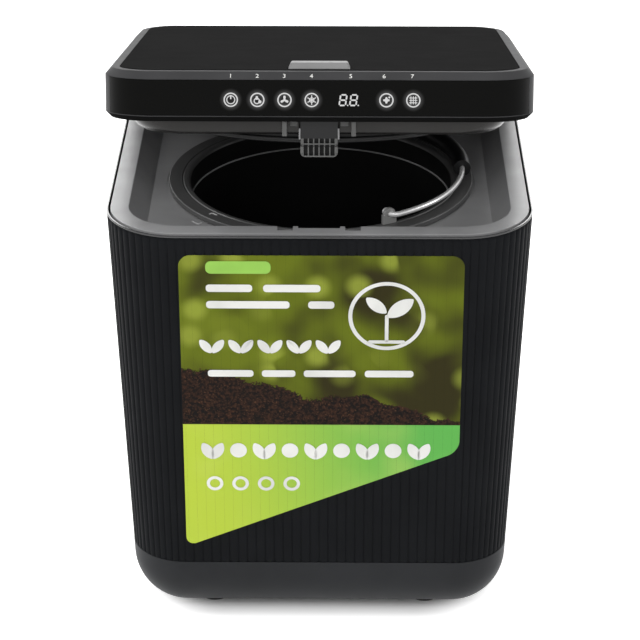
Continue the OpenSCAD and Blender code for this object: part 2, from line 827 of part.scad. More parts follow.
module fan_impeller() {
    blades = 16;
    blade_t = 1;
    blade_l = 10;
    disc_t = 1.5;
    r = fan_r - 2;
    h = fan_h - 2 * fan_wall - 2;
    color([0.2, 0.2, 0.22]) translate([0, vy(fan_v), fan_z + fan_wall + 1]) difference() {
        union() {
            cylinder(h = disc_t, r = r);
            cylinder(h = h - 3, r = fan_pin_r + 4);
            for (i = [0:blades - 1]) rotate(i * 360 / blades)
                translate([r - blade_l, -blade_t / 2, disc_t / 2])
                    cube([blade_l - 1, blade_t, h - disc_t / 2]);
        }
        translate([0, 0, -1]) cylinder(h = h + 2, r = fan_pin_r + run_gap);
    }
}

module intake_grille() {
    bars = 13;
    edge = 3;
    lap = 2;
    pitch = (2 * grille_hw - 2 * edge) / bars;
    color([0.13, 0.13, 0.13]) difference() {
        union() {
            block(-grille_hw, grille_hw, grille_v0, grille_v1, deck_floor_z, deck_z);
            block(-grille_hw - lap, grille_hw + lap, grille_v0 - lap, grille_v1 + lap, deck_z,
                deck_z + 1.2);
        }
        for (i = [0:bars - 1]) translate([pitch * (i + 0.5) - grille_hw + edge, 0, 0])
            block(-0.28 * pitch, 0.28 * pitch, grille_v0 + edge, grille_v1 - edge, deck_floor_z - 1,
                deck_z + 2);
    }
}

module air_duct() {
    wall = 1.6;
    house_top = drawer_z + drawer_h + drawer_gap + house_t;
    color([0.25, 0.25, 0.26]) difference() {
        block(-grille_hw - wall, grille_hw + wall, grille_v0, grille_v1 + wall, house_top, deck_floor_z);
        block(-grille_hw, grille_hw, grille_v0 + wall, grille_v1, house_top - 1, deck_floor_z + 1);
    }
}

module filter_housing() {
    x = drawer_w / 2 + drawer_gap;
    z0 = drawer_z - drawer_gap;
    z1 = drawer_z + drawer_h + drawer_gap;
    mouth_v = drawer_v1 - 6;
    color([0.3, 0.3, 0.32]) difference() {
        block(-x - house_t, x + house_t, house_v0, mouth_v, z0 - house_t, z1 + house_t);
        block(-x, x, house_v0 + house_t, mouth_v + 10, z0, z1);
        block(-grille_hw + 2, grille_hw - 2, house_v0 + house_t + 1, grille_v1 - 2, z1 - 1,
            z1 + house_t + 1);
        post(0, vy(fan_v), z0 - house_t - 1, z0 + 1, fan_eye);
    }
}

module filter_drawer() {
    wall = 2;
    x = drawer_w / 2;
    face_x = x + face_lap;
    v0 = drawer_v1 - drawer_d;
    slot_hw = 3;
    pull_hw = 24;
    color([0.16, 0.16, 0.17]) difference() {
        union() {
            // Box, run on into the face
            intersection() {
                block(-x, x, v0, body_d, drawer_z, drawer_z + drawer_h);
                back_wall() block(-x - 1, x + 1, v0 - 40, body_d - panel_t / 2, 0, rim_z);
            }
            // Face that lies flush in the casing's back
            intersection() {
                back_wall() block(-face_x, face_x, body_d - panel_t, body_d, 0, rim_z);
                block(-face_x - 1, face_x + 1, v0, body_d + 1, drawer_z - face_lap,
                    drawer_z + drawer_h + face_lap);
            }
        }
        block(-x + wall, x - wall, v0 + wall, drawer_v1 - 5, drawer_z + wall, drawer_z + drawer_h + 1);
        for (i = [-5:5]) block(i * 9 - slot_hw, i * 9 + slot_hw, v0 + 10, drawer_v1 - 14,
            drawer_z - 1, drawer_z + wall + 1);
        // Finger pull
        back_wall() block(-pull_hw, pull_hw, body_d - 1.4, body_d + 5, drawer_z + drawer_h - 14,
            drawer_z + drawer_h - 2);
    }
}

module filter_cartridge() {
    gap = 0.3;
    wall = 2;
    x = drawer_w / 2 - wall - gap;
    v0 = drawer_v1 - drawer_d + wall + gap;
    v1 = drawer_v1 - 5 - gap;
    z0 = drawer_z + wall;
    z1 = drawer_z + drawer_h - 4;
    pitch = 11;
    color([0.1, 0.1, 0.1]) difference() {
        block(-x, x, v0, v1, z0, z1);
        for (i = [-4:4], j = [-1:1]) post(i * pitch, vy((v0 + v1) / 2 + j * pitch), z0 - 1, z1 + 1, 3);
    }
}

// Mains board with its transformer, heat sink and capacitors
module power_board() {
    x0 = power_side - half_w(power_z0);
    x1 = x0 + board_t;
    color([0.1, 0.35, 0.2]) translate([0, 0, power_z0]) {
        block(x0, x1, power_v0, power_v0 + power_l, 0, power_h);
        translate([x1 - 0.1, vy(power_v0 + 8), 6]) cube([19, 22, 22]);
        translate([x1 - 0.1, vy(power_v0 + 36), 32]) cube([10, 24, 30]);
        for (i = [0:2]) bar_x(x1 - 0.1, x1 + 14, power_v0 + 42 + i * 8, 14, 3.4);
    }
}

module mains_inlet() {
    v_face = body_d - (sleeve_top - inlet_z) * tan(draft);
    depth = 28;
    socket_w = 24;
    socket_h = 16.6;
    socket_d = 17;
    pin_l = 13;
    flange = 3;
    color([0.07, 0.07, 0.07]) {
        difference() {
            union() {
                block(inlet_x - inlet_w / 2, inlet_x + inlet_w / 2, v_face - depth, v_face,
                    inlet_z - inlet_h / 2, inlet_z + inlet_h / 2);
                block(inlet_x - inlet_w / 2 - flange, inlet_x + inlet_w / 2 + flange,
                    v_face - panel_t - flange, v_face - panel_t - 0.6,
                    inlet_z - inlet_h / 2 - flange, inlet_z + inlet_h / 2 + flange);
            }
            block(inlet_x - socket_w / 2, inlet_x + socket_w / 2, v_face - socket_d, v_face + 1,
                inlet_z - socket_h / 2, inlet_z + socket_h / 2);
        }
        for (p = [[-7, -3.5], [0, 1], [7, -3.5]]) block(inlet_x + p[0] - 1, inlet_x + p[0] + 1,
            v_face - socket_d - 1, v_face - socket_d + pin_l, inlet_z + p[1] - 2, inlet_z + p[1] + 2);
    }
}

// Switch under the rim that feels the lid's magnet
module reed_switch() {
    lap = 3;
    switch_h = 4;
    top = rim_z - deck_t;
    color([0.2, 0.5, 0.2])
        block(magnet_x - lap, magnet_x + magnet_w + lap, magnet_v - 2.5, magnet_v + 1, top - switch_h, top);
}

module hinge_brackets() {
    color([0.12, 0.12, 0.13]) for (s = [-1, 1]) {
        x0 = s * hinge_x - bracket_hw;
        x1 = s * hinge_x + bracket_hw;
        difference() {
            union() {
                block(x0, x1, hinge_v - leg_v, hinge_v + leg_v, bracket_z, hinge_z);
                bar_x(x0, x1, hinge_v, hinge_z, bracket_r);
            }
            bar_x(x0 - 1, x1 + 1, hinge_v, hinge_z, hinge_pin_r);
        }
    }
}

module hinge_pins() {
    color("silver") for (s = [-1, 1])
        bar_x(s * hinge_x - pin_hw, s * hinge_x + pin_hw, hinge_v, hinge_z, hinge_pin_r);
}

// Half section of the bucket, from its axis outwards
module bucket_section() {
    ro = bucket_ri + bucket_t;
    r_low = ro - bucket_taper;
    heel = 14;
    step = 0.7;
    edge = 0.8;
    fill_z = bucket_h - fill_drop;
    heel_x = r_low - heel;
    mouth = bucket_ri + 2.4;
    difference() {
        union() {
            polygon([[0, 0], [heel_x, 0], [r_low, heel], [ro, bucket_h - flange_t], [ro, bucket_h - 1],
                [0, bucket_h - 1]]);
            translate([heel_x, heel]) circle(heel);
            translate([0, bucket_h - flange_t]) square([flange_r, flange_t - edge]);
            translate([0, bucket_h - 1]) square([flange_r - edge, 1]);
        }
        polygon([[-1, floor_t], [heel_x, floor_t], [r_low - bucket_t, heel], [bucket_ri - step, fill_z],
            [bucket_ri, fill_z], [bucket_ri, bucket_h - 2.4], [bucket_ri + step, bucket_h - edge],
            [mouth, bucket_h], [mouth, bucket_h + 1], [-1, bucket_h + 1]]);
        translate([heel_x, heel]) circle(heel - floor_t);
    }
}

module bucket() {
    color([0.14, 0.14, 0.14]) on_axis(base_z) difference() {
        union() {
            rotate_extrude($fn = 96) intersection() {
                bucket_section();
                square([200, 300]);
            }
            cylinder(h = dome_h + floor_t, r = dome_r);
            translate([0, 0, dome_h]) cylinder(h = floor_t + 2, r = paddle_r + 7);
        }
        translate([0, 0, -1]) cylinder(h = dome_h + 1, r = dome_r - floor_t);
        translate([0, 0, dome_h - 1]) cylinder(h = 20, r = paddle_r + 3);
    }
}

module bucket_bush() {
    color([0.75, 0.6, 0.3]) on_axis(base_z + dome_h) pipe(paddle_r + 3, paddle_r + run_gap, floor_t + 2);
}

module bail_turn() { on_axis(bail_z) rotate(bail_dir) children(); }

module bail_lugs() {
    w = 10;
    top = 4.2;
    color([0.16, 0.16, 0.16]) bail_turn() for (a = [0, 180]) rotate(a) difference() {
        union() {
            translate([lug_r0, -w / 2, -bail_up]) cube([lug_t, w, bail_up]);
            translate([lug_r0, 0, 0]) rotate([0, 90, 0]) cylinder(h = lug_t, r = top);
        }
        translate([lug_r0 - 1, 0, 0]) rotate([0, 90, 0]) cylinder(h = lug_t + 2, r = wire_r + run_gap);
    }
}

// Fixed bars on the bucket's wall that the paddle's scrapers pass under
module breaker_bars() {
    reach = 24;
    up = 40;
    w = 6;
    h = 9;
    r_wall = bucket_ri - bucket_taper * (1 - up / bucket_h) - 0.4;
    color([0.6, 0.6, 0.62]) on_axis(base_z + up) for (a = [100, 220, 340]) rotate(a)
        translate([r_wall - reach, -w / 2, 0]) difference() {
            cube([reach, w, h]);
            translate([-1, -1, h]) rotate([0, 30, 0]) cube([12, w + 2, h]);
        }
}

module bail_wire() {
    color("silver") bail_turn() {
        rotate_extrude(angle = 180, $fn = 96) translate([bail_r, 0]) circle(wire_r);
        for (m = [0, 180]) rotate(m) {
            translate([tip_r, 0, 0]) rotate([0, 90, 0]) cylinder(h = bail_r - tip_r, r = wire_r);
            translate([tip_r, 0, 0]) rotate([0, 90, 0]) cylinder(h = 1.2, r = wire_r + 0.8);
            translate([bail_r, 0, 0]) sphere(wire_r);
        }
    }
}

module bail_grip() {
    color([0.06, 0.06, 0.06]) bail_turn() rotate(90 - grip_angle / 2) difference() {
        rotate_extrude(angle = grip_angle, $fn = 96) translate([bail_r, 0]) circle(grip_r);
        rotate(-5) rotate_extrude(angle = grip_angle + 10, $fn = 96) translate([bail_r, 0]) circle(wire_r);
    }
}

module paddle_shaft() {
    color("silver") post(0, bucket_y, paddle_dog_z + jaw_h, hub_z + hub_h - 1, paddle_r);
}

module grinding_paddle() {
    sweep = bucket_ri - bucket_taper - 9;
    arm_w = 10;
    arm_h = 6;
    scraper_h = 16;
    color([0.55, 0.55, 0.57]) on_axis(hub_z) difference() {
        union() {
            cylinder(h = hub_h, r = 13);
            for (a = [20, 200]) rotate(a) {
                translate([0, -arm_w / 2, 0]) cube([sweep, arm_w, arm_h]);
                translate([sweep - 9, -4, 0]) cube([9, 8, scraper_h]);
                translate([0, -2.5, arm_h]) rotate([0, -12, 0]) cube([46, 5, 4]);
            }
            for (a = [110, 290]) rotate(a) translate([0, -4, hub_h - 8]) cube([sweep - 30, 8, 6]);
        }
        translate([0, 0, -1]) cylinder(h = hub_h, r = paddle_r);
    }
}

// Outer form of the lid, closed: plan, side section and front section cut from one another
module lid_form(inset) {
    z0 = lid_z + inset;
    z1 = lid_top - inset;
    v0 = lid_front + inset;
    hw = lid_hw - inset;
    ct = lid_chamfer;
    cu = lid_under;
    intersection() {
        slab(hw, v0, lid_back - inset, lid_r - inset, z0, z1);
        slab(hw, v0 - lid_rear_r, lid_back - inset, lid_rear_r - inset, z0, z1);
        translate([-lid_hw, 0, 0]) rotate([90, 0, 90]) linear_extrude(2 * lid_hw) union() {
            polygon([[vy(v0), z0 + cu], [vy(v0 + cu), z0], [hinge_y, z0], [hinge_y, z1], [vy(v0 + ct), z1],
                [vy(v0), z1 - ct]]);
            translate([hinge_y, hinge_z]) circle(hinge_r - inset);
        }
        translate([0, vy(lid_back + 10), 0]) rotate([90, 0, 0]) linear_extrude(lid_back + 20)
            polygon([[-hw, z0 + cu], [-hw + cu, z0], [hw - cu, z0], [hw, z0 + cu], [hw, z1 - ct],
                [hw - ct, z1], [-hw + ct, z1], [-hw, z1 - ct]]);
    }
}

// Slab of the lid's top opening, drawn in by inset
module top_slab(inset, z0, z1) {
    slab(top_hw - inset, top_v0 + inset, top_v1 - inset, top_r - inset, z0, z1);
}

// Band round the lid's front and its corners
module glass_band(gap) {
    z0 = glass_z0 + gap;
    z1 = glass_z1 - gap;
    intersection() {
        difference() {
            slab(lid_hw + gap, lid_front - gap, lid_back, lid_r + gap, z0, z1);
            slab(lid_hw - glass_t, lid_front + glass_t, lid_back, lid_r - glass_t, z0 - 1, z1 + 1);
        }
        block(-lid_hw - 2, lid_hw + 2, -5, lid_front + glass_wrap - gap, z0, z1);
    }
}

module lid_shell() {
    plug_room = 10;
    color([0.17, 0.17, 0.17]) lid_pose() difference() {
        lid_form(0);
        // Hollow, ended before the barrel that holds the pins
        intersection() {
            lid_form(lid_wall);
            block(-lid_hw, lid_hw, 0, hinge_v - plug_room, 0, lid_top + 10);
        }
        // Seat and opening of the top panel, and the seat of the touch panel
        top_slab(0, lid_top - top_panel_t, lid_top + 1);
        intersection() {
            top_slab(panel_ledge, lid_top - lid_wall - 1, lid_top);
            block(-lid_hw, lid_hw, 0, hinge_v - plug_room, 0, lid_top + 10);
        }
        glass_band(0);
        // Opening for the liner, and the passages of the latch and its guide ribs
        slab(liner_hw - 4, liner_v0 + 3, liner_v1 - 2, 26, lid_z - 1, lid_z + lid_wall + 1);
        block(-notch_x - rib_w, notch_x + rib_w, lid_front + 6, liner_v0 + 20, lid_z - 1,
            lid_z + lid_wall + 1);
        // Slots in the barrel for the hinge brackets, and the pins' bores
        for (s = [-1, 1]) {
            bar_x(s * hinge_x - slot_hw, s * hinge_x + slot_hw, hinge_v, hinge_z, slot_r);
            translate([s * hinge_x, 0, 0]) {
                block(-slot_hw, slot_hw, hinge_v - leg_v - 1.4, lid_back + 5, lid_z - 1, hinge_z);
                block(-slot_hw, slot_hw, hinge_v, lid_back + 5, hinge_z - 1, hinge_z + leg_v);
            }
            bar_x(s * hinge_x - pin_hw - 0.5, s * hinge_x + pin_hw + 0.5, hinge_v, hinge_z,
                hinge_pin_r + run_gap);
        }
    }
}

module lid_top_panel() {
    color([0.2, 0.2, 0.2]) lid_pose() difference() {
        top_slab(panel_gap_lid, lid_top - top_panel_t, lid_top);
        block(-button_w / 2 - hole, button_w / 2 + hole, button_v - hole, button_v + button_d + hole,
            lid_top - top_panel_t - 1, lid_top + 1);
    }
}

// Glossy band with the display and the touch keys
module touch_panel() {
    color([0.03, 0.03, 0.03]) lid_pose() intersection() {
        glass_band(0.2);
        slab(lid_hw, lid_front, lid_back, lid_r, lid_z, lid_top);
    }
}

// Board behind the touch panel, with a sensor behind each key
module control_board() {
    key_z = lid_z + 15.5;
    key_h = board_v - lid_front - lid_wall;
    color([0.1, 0.35, 0.2]) lid_pose() {
        block(-70, 74, board_v, board_v + board_t, lid_z + 8.6, lid_top - 7);
        for (x = [-57, -40, -23, -6, 41, 58]) translate([x, vy(board_v + 0.1), key_z]) rotate([90, 0, 0])
            cylinder(h = key_h, r = 4);
        block(-50, -38, board_v + board_t - 0.1, board_v + 4.4, lid_z + 10, lid_z + 18);
    }
}

module display_module() {
    color([0.9, 0.9, 0.9]) lid_pose()
        block(10.5, 25, lid_front + lid_wall, board_v, lid_z + 10.5, lid_z + 20.5);
}

// Tray under the lid, with the guide ribs on both sides of the latch
module lid_liner() {
    wall = 2;
    inset = 4.3;
    lean = 5;
    shoulder = 10;
    rim_t = 0.6;
    hw = liner_hw - inset;
    hw_low = liner_hw - shoulder;
    v0 = liner_v0 + inset - 1;
    v1 = liner_v1 - inset + 2;
    v1_low = liner_v1 - shoulder;
    z_low = lid_z - skirt_h;
    box_x = 16;
    box_hw = 2.6;
    box_v = 18.4;
    color([0.22, 0.22, 0.22]) lid_pose() difference() {
        union() {
            // Skirt with a flange that rests against the lid
            hull() {
                slab(liner_hw, v0, v1, 29, lid_z - rim_t, lid_z, $fn = 32);
                slab(hw_low, v0 + lean, v1_low, 20, z_low, z_low + 0.01, $fn = 32);
            }
            slab(hw, v0, v1, 25, lid_z - 0.01, liner_z + wall);
            for (s = [-1, 1]) {
                block(s * notch_x - rib_w / 2, s * notch_x + rib_w / 2, 9.5, v0 + lean + wall,
                    z_low - 0.5, lid_z + lid_wall);
                block(s * box_x - box_hw, s * box_x + box_hw, box_v, v0 + lean + wall, lid_z - 5,
                    lid_z + lid_wall);
            }
        }
        hull() {
            slab(hw - wall, v0 + wall, v1 - wall, 23, liner_z - 0.01, liner_z, $fn = 32);
            slab(hw_low - wall, v0 + wall + lean, v1_low - wall, 18, z_low - 1, z_low, $fn = 32);
        }
        // Slot for the latch, open to the front
        block(-tongue_w / 2 - 1.2, tongue_w / 2 + 1.2, 0, liner_v0 + 9, z_low - 1, liner_z + wall + 1);
        translate([0, bucket_y, liner_z - 1]) cylinder(h = wall + 2, r = plug_r - 12);
    }
}

module seal_plug() {
    wall = 2;
    z0 = lid_z - plug_h;
    color([0.15, 0.15, 0.15]) lid_pose() translate([0, bucket_y, 0]) difference() {
        translate([0, 0, z0]) cylinder(h = liner_z - z0, r = plug_r);
        translate([0, 0, z0 + wall]) cylinder(h = 60, r = plug_r - wall - 1);
        for (i = [0:5]) rotate(i * 60) translate([30, 0, z0 - 1]) cylinder(h = 10, r = 5);
    }
}

module lid_gasket() {
    z0 = lid_z - plug_h + 1;
    lip = 3.4;
    color([0.05, 0.05, 0.05]) lid_pose() translate([0, bucket_y, z0]) difference() {
        union() {
            cylinder(h = 6, r = plug_r + 1.6);
            translate([0, 0, 1]) cylinder(h = 2, r = plug_r + lip);
        }
        translate([0, 0, -1]) cylinder(h = 10, r = plug_r);
    }
}

module lid_magnet() {
    z = lid_z + lid_wall;
    color([0.5, 0.5, 0.52]) lid_pose()
        block(magnet_x, magnet_x + magnet_w, magnet_v, magnet_v + magnet_d, z, z + magnet_h);
}

module latch_lever() {
    w = tongue_w / 2;
    tip_r = 3;
    arm_t = 5;
    arm_z = pad_z - arm_t;
    hook_z = tongue_foot + tip_r;
    bars = 6;
    pitch = 3.4;
    color([0.12, 0.12, 0.12]) lid_pose() difference() {
        union() {
            // Tongue with round lower corners, and its hook
            block(-w, w, tongue_v, tongue_v + tongue_t, hook_z, arm_z + 1);
            block(-w + tip_r, w - tip_r, tongue_v, tongue_v + tongue_t, tongue_foot, arm_z);
            for (s = [-1, 1]) translate([s * (w - tip_r), vy(tongue_v), hook_z]) rotate([-90, 0, 0])
                cylinder(h = tongue_t, r = tip_r);
            block(-w, w, tongue_v - hook_reach, tongue_v + 1, hook_z, hook_z + hook_h);
            // Arm back to the pivot, and the eye round the pin
            block(-w, w, tongue_v, pivot_v, arm_z, pad_z);
            block(-w, w, pivot_v - 5, pivot_v + 4, pivot_z - 4, pad_z);
        }
        bar_x(-w - 1, w + 1, pivot_v, pivot_z, latch_pin_r + run_gap);
        // Coring of the tongue
        for (i = [0:bars - 1]) translate([(i - (bars - 1) / 2) * pitch, 0, 0])
            block(-1.2, 1.2, tongue_v - 1, tongue_v + 1.6, hook_z + hook_h + 1, lid_z - 6);
    }
}

module latch_pin() {
    hw = tongue_w / 2 + 8;
    cheek = 2;
    color("silver") lid_pose() {
        bar_x(-hw, hw, pivot_v, pivot_z, latch_pin_r);
        for (s = [-1, 1]) translate([s * (hw - 3), 0, 0])
            block(-cheek, cheek, pivot_v - 4, pivot_v + 4, liner_z + 2, pivot_z + 3);
    }
}

// Leaf spring under the latch's arm
module latch_spring() {
    t = 0.5;
    hw = 4;
    z = liner_z + 2;
    color([0.7, 0.7, 0.7]) lid_pose() {
        block(-hw, hw, tongue_v + 9, pivot_v - 8, z, z + t);
        block(-hw, hw, pivot_v - 8 - t, pivot_v - 8, z, z + 2.4);
    }
}

module release_button() {
    stem_hw = 5;
    stem_d = 3;
    lean = 3.4;
    base_h = 3;
    key_hw = button_w / 2 - lean / 2;
    color([0.52, 0.52, 0.52]) lid_pose() {
        block(-button_w / 2, button_w / 2, button_v, button_v + button_d, lid_top - base_h, lid_top);
        hull() {
            block(-button_w / 2, button_w / 2, button_v, button_v + button_d, lid_top - 0.01, lid_top);
            block(-key_hw, key_hw, button_v + lean, button_v + button_d - 0.6, lid_top + button_h - 0.01,
                lid_top + button_h);
        }
        block(-stem_hw, stem_hw, stem_v - stem_d, stem_v + stem_d, pad_z + 0.4, lid_top - base_h + 1);
    }
}

ribbed_sleeve();
base_tub();
top_deck();
rear_panel();
rubber_feet();
base_screws();
front_label();
chamber_pot();
heater_plate();
insulation_jacket();
thermostat();
shaft_seal();
gearbox_tray();
gearbox_cover();
gearbox_screws();
drive_motor();
motor_shaft();
motor_pinion();
idler_gear();
idler_shaft();
output_gear();
output_shaft();
drive_dog();
fan_housing();
fan_impeller();
intake_grille();
air_duct();
filter_housing();
filter_drawer();
filter_cartridge();
power_board();
mains_inlet();
reed_switch();
hinge_brackets();
hinge_pins();
bucket();
bail_lugs();
bucket_bush();
breaker_bars();
bail_wire();
bail_grip();
paddle_shaft();
grinding_paddle();
paddle_dog();
lid_shell();
lid_top_panel();
touch_panel();
control_board();
display_module();
lid_liner();
seal_plug();
lid_gasket();
lid_magnet();
latch_lever();
latch_pin();
latch_spring();
release_button();
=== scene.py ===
import math

import bpy
from mathutils import Matrix, Vector


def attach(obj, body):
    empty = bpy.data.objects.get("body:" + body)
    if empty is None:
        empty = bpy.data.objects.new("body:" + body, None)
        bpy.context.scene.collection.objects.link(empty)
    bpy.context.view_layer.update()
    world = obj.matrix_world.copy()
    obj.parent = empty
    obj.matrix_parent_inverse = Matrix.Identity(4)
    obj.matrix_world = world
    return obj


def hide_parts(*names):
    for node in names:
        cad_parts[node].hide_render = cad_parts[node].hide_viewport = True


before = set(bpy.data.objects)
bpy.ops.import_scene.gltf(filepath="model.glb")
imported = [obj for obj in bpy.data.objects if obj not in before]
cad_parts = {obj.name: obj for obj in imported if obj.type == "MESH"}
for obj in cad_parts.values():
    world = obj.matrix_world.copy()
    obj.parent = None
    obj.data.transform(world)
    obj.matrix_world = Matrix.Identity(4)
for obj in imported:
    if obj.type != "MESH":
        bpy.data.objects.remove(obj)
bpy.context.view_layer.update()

# Measures in millimetres with the lid closed; v is the distance behind the casing's front
MM = 0.001
FRONT_Y = -160.65
SLEEVE_TOP = 299.0
DRAFT = math.tan(math.radians(2.28))
CASING_HW, CASING_HD, CASING_R = 139.5, 160.0, 48.0
SEAM_Z = 50.6
BUCKET_V = 123.5
DECK_Z = 285.8
FLANGE_Z = 290.0
BAIL_Z = 296.8
LID_HW, LID_FRONT, LID_BACK, LID_R, LID_REAR_R = 136.6, 1.8, 321.3, 34.0, 46.0
LID_Z, LID_T = 301.5, 31.9
LID_UNDER, LID_OVER, LID_EDGE = 3.3, 4.7, 4.4
LID_TOP = LID_Z + LID_T
HINGE_R = LID_T / 2
HINGE_V, HINGE_Z = LID_BACK - HINGE_R, LID_Z + HINGE_R
LID_OPEN = math.radians(13.8)
HINGE_X, KNUCKLE_HW = 82.0, 6.2
CORNER_STEPS = 28
FRONT_FLUTES, SIDE_FLUTES, CORNER_FLUTES = 30, 37, 13
INK = 0.03


def y_of(v):
    return (FRONT_Y + v) * MM


# Modelling with Blender's own tools
def spot(x, v, z):
    """A place in metres, from millimetres."""
    return Vector((x * MM, y_of(v), z * MM))


def idle():
    """Leaves edit mode with nothing selected."""
    if bpy.context.mode != "OBJECT":
        leave()
    for other in list(bpy.context.selected_objects):
        other.select_set(False)


def leave():
    bpy.ops.object.mode_set(mode="OBJECT")


def take(piece):
    idle()
    piece.select_set(True)
    bpy.context.view_layer.objects.active = piece


def settle(piece):
    """Puts a piece's place, turn and scale into its mesh."""
    take(piece)
    bpy.ops.object.transform_apply(location=True, rotation=True, scale=True)


def rename(piece, name):
    piece.name = piece.data.name = name


def start(add, name, scale=(1, 1, 1), **how):
    idle()
    add(**how)
    piece = bpy.context.object
    rename(piece, name)
    bpy.ops.transform.resize(value=scale, orient_type="LOCAL")
    settle(piece)
    return piece


def anything(*_):
    return True


def pick(piece, kind, test=anything):
    """Edit mode on a piece, with those faces, edges or points selected that the test takes."""
    take(piece)
    bpy.ops.object.mode_set(mode="EDIT")
    bpy.ops.mesh.select_mode(type=kind)
    bpy.ops.mesh.select_all(action="DESELECT")
    leave()
    mesh = piece.data
    if kind == "FACE":
        for face in mesh.polygons:
            face.select = bool(test(face.center / MM, face.normal))
    elif kind == "EDGE":
        for edge in mesh.edges:
            a, b = (mesh.vertices[i].co / MM for i in edge.vertices)
            edge.select = bool(test(a, b))
    else:
        for point in mesh.vertices:
            point.select = bool(test(point.co / MM))
    bpy.ops.object.mode_set(mode="EDIT")


def edit(operator, piece, kind, test=anything, **settings):
    """Runs one operator on what the test takes."""
    pick(piece, kind, test)
    operator(**settings)
    leave()


def apply(piece, kind, **settings):
    """Adds a modifier, sets it and applies it."""
    take(piece)
    mod = piece.modifiers.new(kind.title(), kind)
    for key, value in settings.items():
        setattr(mod, key, value)
    bpy.ops.object.modifier_apply(modifier=mod.name)


def inset(width, rise=0.0):
    bpy.ops.mesh.inset(thickness=width * MM, depth=rise * MM)


def extrude(rise):
    bpy.ops.mesh.extrude_region_move(TRANSFORM_OT_translate={"value": (0, 0, rise * MM)})


def widen(x, y, pivot=(0, 0, 0)):
    bpy.ops.transform.resize(value=(x, y, 1), center_override=pivot)


def round_corners(piece, r, segments, test=anything):
    edit(bpy.ops.mesh.bevel, piece, "VERT", test, offset=r * MM, segments=segments, affect="VERTICES",
        profile=0.5)


def box(name, x0, x1, v0, v1, z0, z1):
    return start(bpy.ops.mesh.primitive_cube_add, name, size=1,
        location=((x0 + x1) / 2 * MM, (y_of(v0) + y_of(v1)) / 2, (z0 + z1) / 2 * MM),
        scale=((x1 - x0) * MM, (v1 - v0) * MM, (z1 - z0) * MM))


def drum(name, x, v, z0, z1, r, sides=96):
    return start(bpy.ops.mesh.primitive_cylinder_add, name, vertices=sides, radius=r * MM,
        depth=(z1 - z0) * MM, location=spot(x, v, (z0 + z1) / 2))


def rod(name, x0, x1, v, z, r, sides=48):
    return start(bpy.ops.mesh.primitive_cylinder_add, name, vertices=sides, radius=r * MM,
        depth=(x1 - x0) * MM, location=spot((x0 + x1) / 2, v, z), rotation=(0, math.pi / 2, 0))


def plate(name, hw, v0, v1, r, z, segments=24, rear_r=None):
    """Flat face with round corners, facing up; the rear corners can have a radius of their own."""
    piece = start(bpy.ops.mesh.primitive_plane_add, name, size=1,
        location=(0, (y_of(v0) + y_of(v1)) / 2, z * MM), scale=(2 * hw * MM, (v1 - v0) * MM, 1))
    round_corners(piece, rear_r or r, segments, lambda p: p.y > FRONT_Y + v1 - 0.01)
    round_corners(piece, r, segments, lambda p: p.y < FRONT_Y + v0 + 0.01)
    return piece


def rings(piece, steps):
    """Insets the one face of a plate again and again; each step is (inset, rise)."""
    pick(piece, "FACE")
    for step in steps:
        inset(*step)
    leave()


def face_out(piece):
    edit(bpy.ops.mesh.normals_make_consistent, piece, "FACE", inside=False)


def flip(piece):
    edit(bpy.ops.mesh.flip_normals, piece, "FACE")


def weld(piece, gap=1e-6):
    """Joins points that lie together."""
    edit(bpy.ops.mesh.remove_doubles, piece, "VERT", threshold=gap)


def clear_faces(piece, test=anything):
    edit(bpy.ops.mesh.delete, piece, "FACE", test, type="FACE")


def cap_open(piece):
    """Closes the open side of a piece that was drawn from a plate."""
    pick(piece, "EDGE")
    bpy.ops.mesh.select_all(action="DESELECT")
    bpy.ops.mesh.select_non_manifold(extend=False)
    bpy.ops.mesh.edge_face_add()
    leave()
    face_out(piece)


def slab(steps, *shape):
    """Solid that is drawn from a plate ring by ring."""
    piece = plate(*shape)
    rings(piece, steps)
    cap_open(piece)
    return piece


def inward(point, hw, hd, r):
    """How far a point lies inside a rectangle with round corners about the casing's middle."""
    dx, dy = abs(point.x) - (hw - r), abs(point.y - FRONT_Y - CASING_HD) - (hd - r)
    return r - (math.hypot(dx, dy) if dx > 0 and dy > 0 else max(dx, dy))


def carve(piece, *tools, how="DIFFERENCE"):
    """Cuts tools from a piece, adds them to it or keeps what they share, and removes them."""
    for tool in tools:
        apply(piece, "BOOLEAN", operation=how, object=tool, solver="EXACT")
        bpy.data.objects.remove(tool)


def soften(piece, width, segments=3, angle=32):
    apply(piece, "BEVEL", width=width * MM, segments=segments, limit_method="ANGLE",
        angle_limit=math.radians(angle), harden_normals=False, use_clamp_overlap=True)


def smooth(piece, angle):
    """Smooth shading up to an angle, with broad faces kept flat against their rounded edges."""
    take(piece)
    bpy.ops.object.shade_smooth_by_angle(angle=math.radians(angle))
    apply(piece, "WEIGHTED_NORMAL", mode="FACE_AREA", weight=50, keep_sharp=True)


def turned(name, x, v, profile, sides=128):
    """Round piece about an upright axis, drawn out ring by ring from its profile of (r, z)."""
    r, z = profile[0]
    piece = start(bpy.ops.mesh.primitive_circle_add, name, vertices=sides, radius=r * MM,
        location=spot(x, v, z))
    pick(piece, "VERT")
    for r_next, z_next in profile[1:]:
        extrude(z_next - z)
        widen(r_next / r, r_next / r, spot(x, v, z_next))
        r, z = r_next, z_next
    leave()
    return piece


def merged_copy(name, node):
    """Copy of a CAD node with its loose triangles joined into whole faces."""
    idle()
    piece = bpy.data.objects.new(name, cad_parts[node].data.copy())
    bpy.context.scene.collection.objects.link(piece)
    piece.data.name = name
    piece.data.materials.clear()
    pick(piece, "VERT")
    bpy.ops.mesh.remove_doubles(threshold=2e-6)
    bpy.ops.mesh.customdata_custom_splitnormals_clear()
    bpy.ops.mesh.dissolve_limited(angle_limit=math.radians(0.6))
    leave()
    return piece


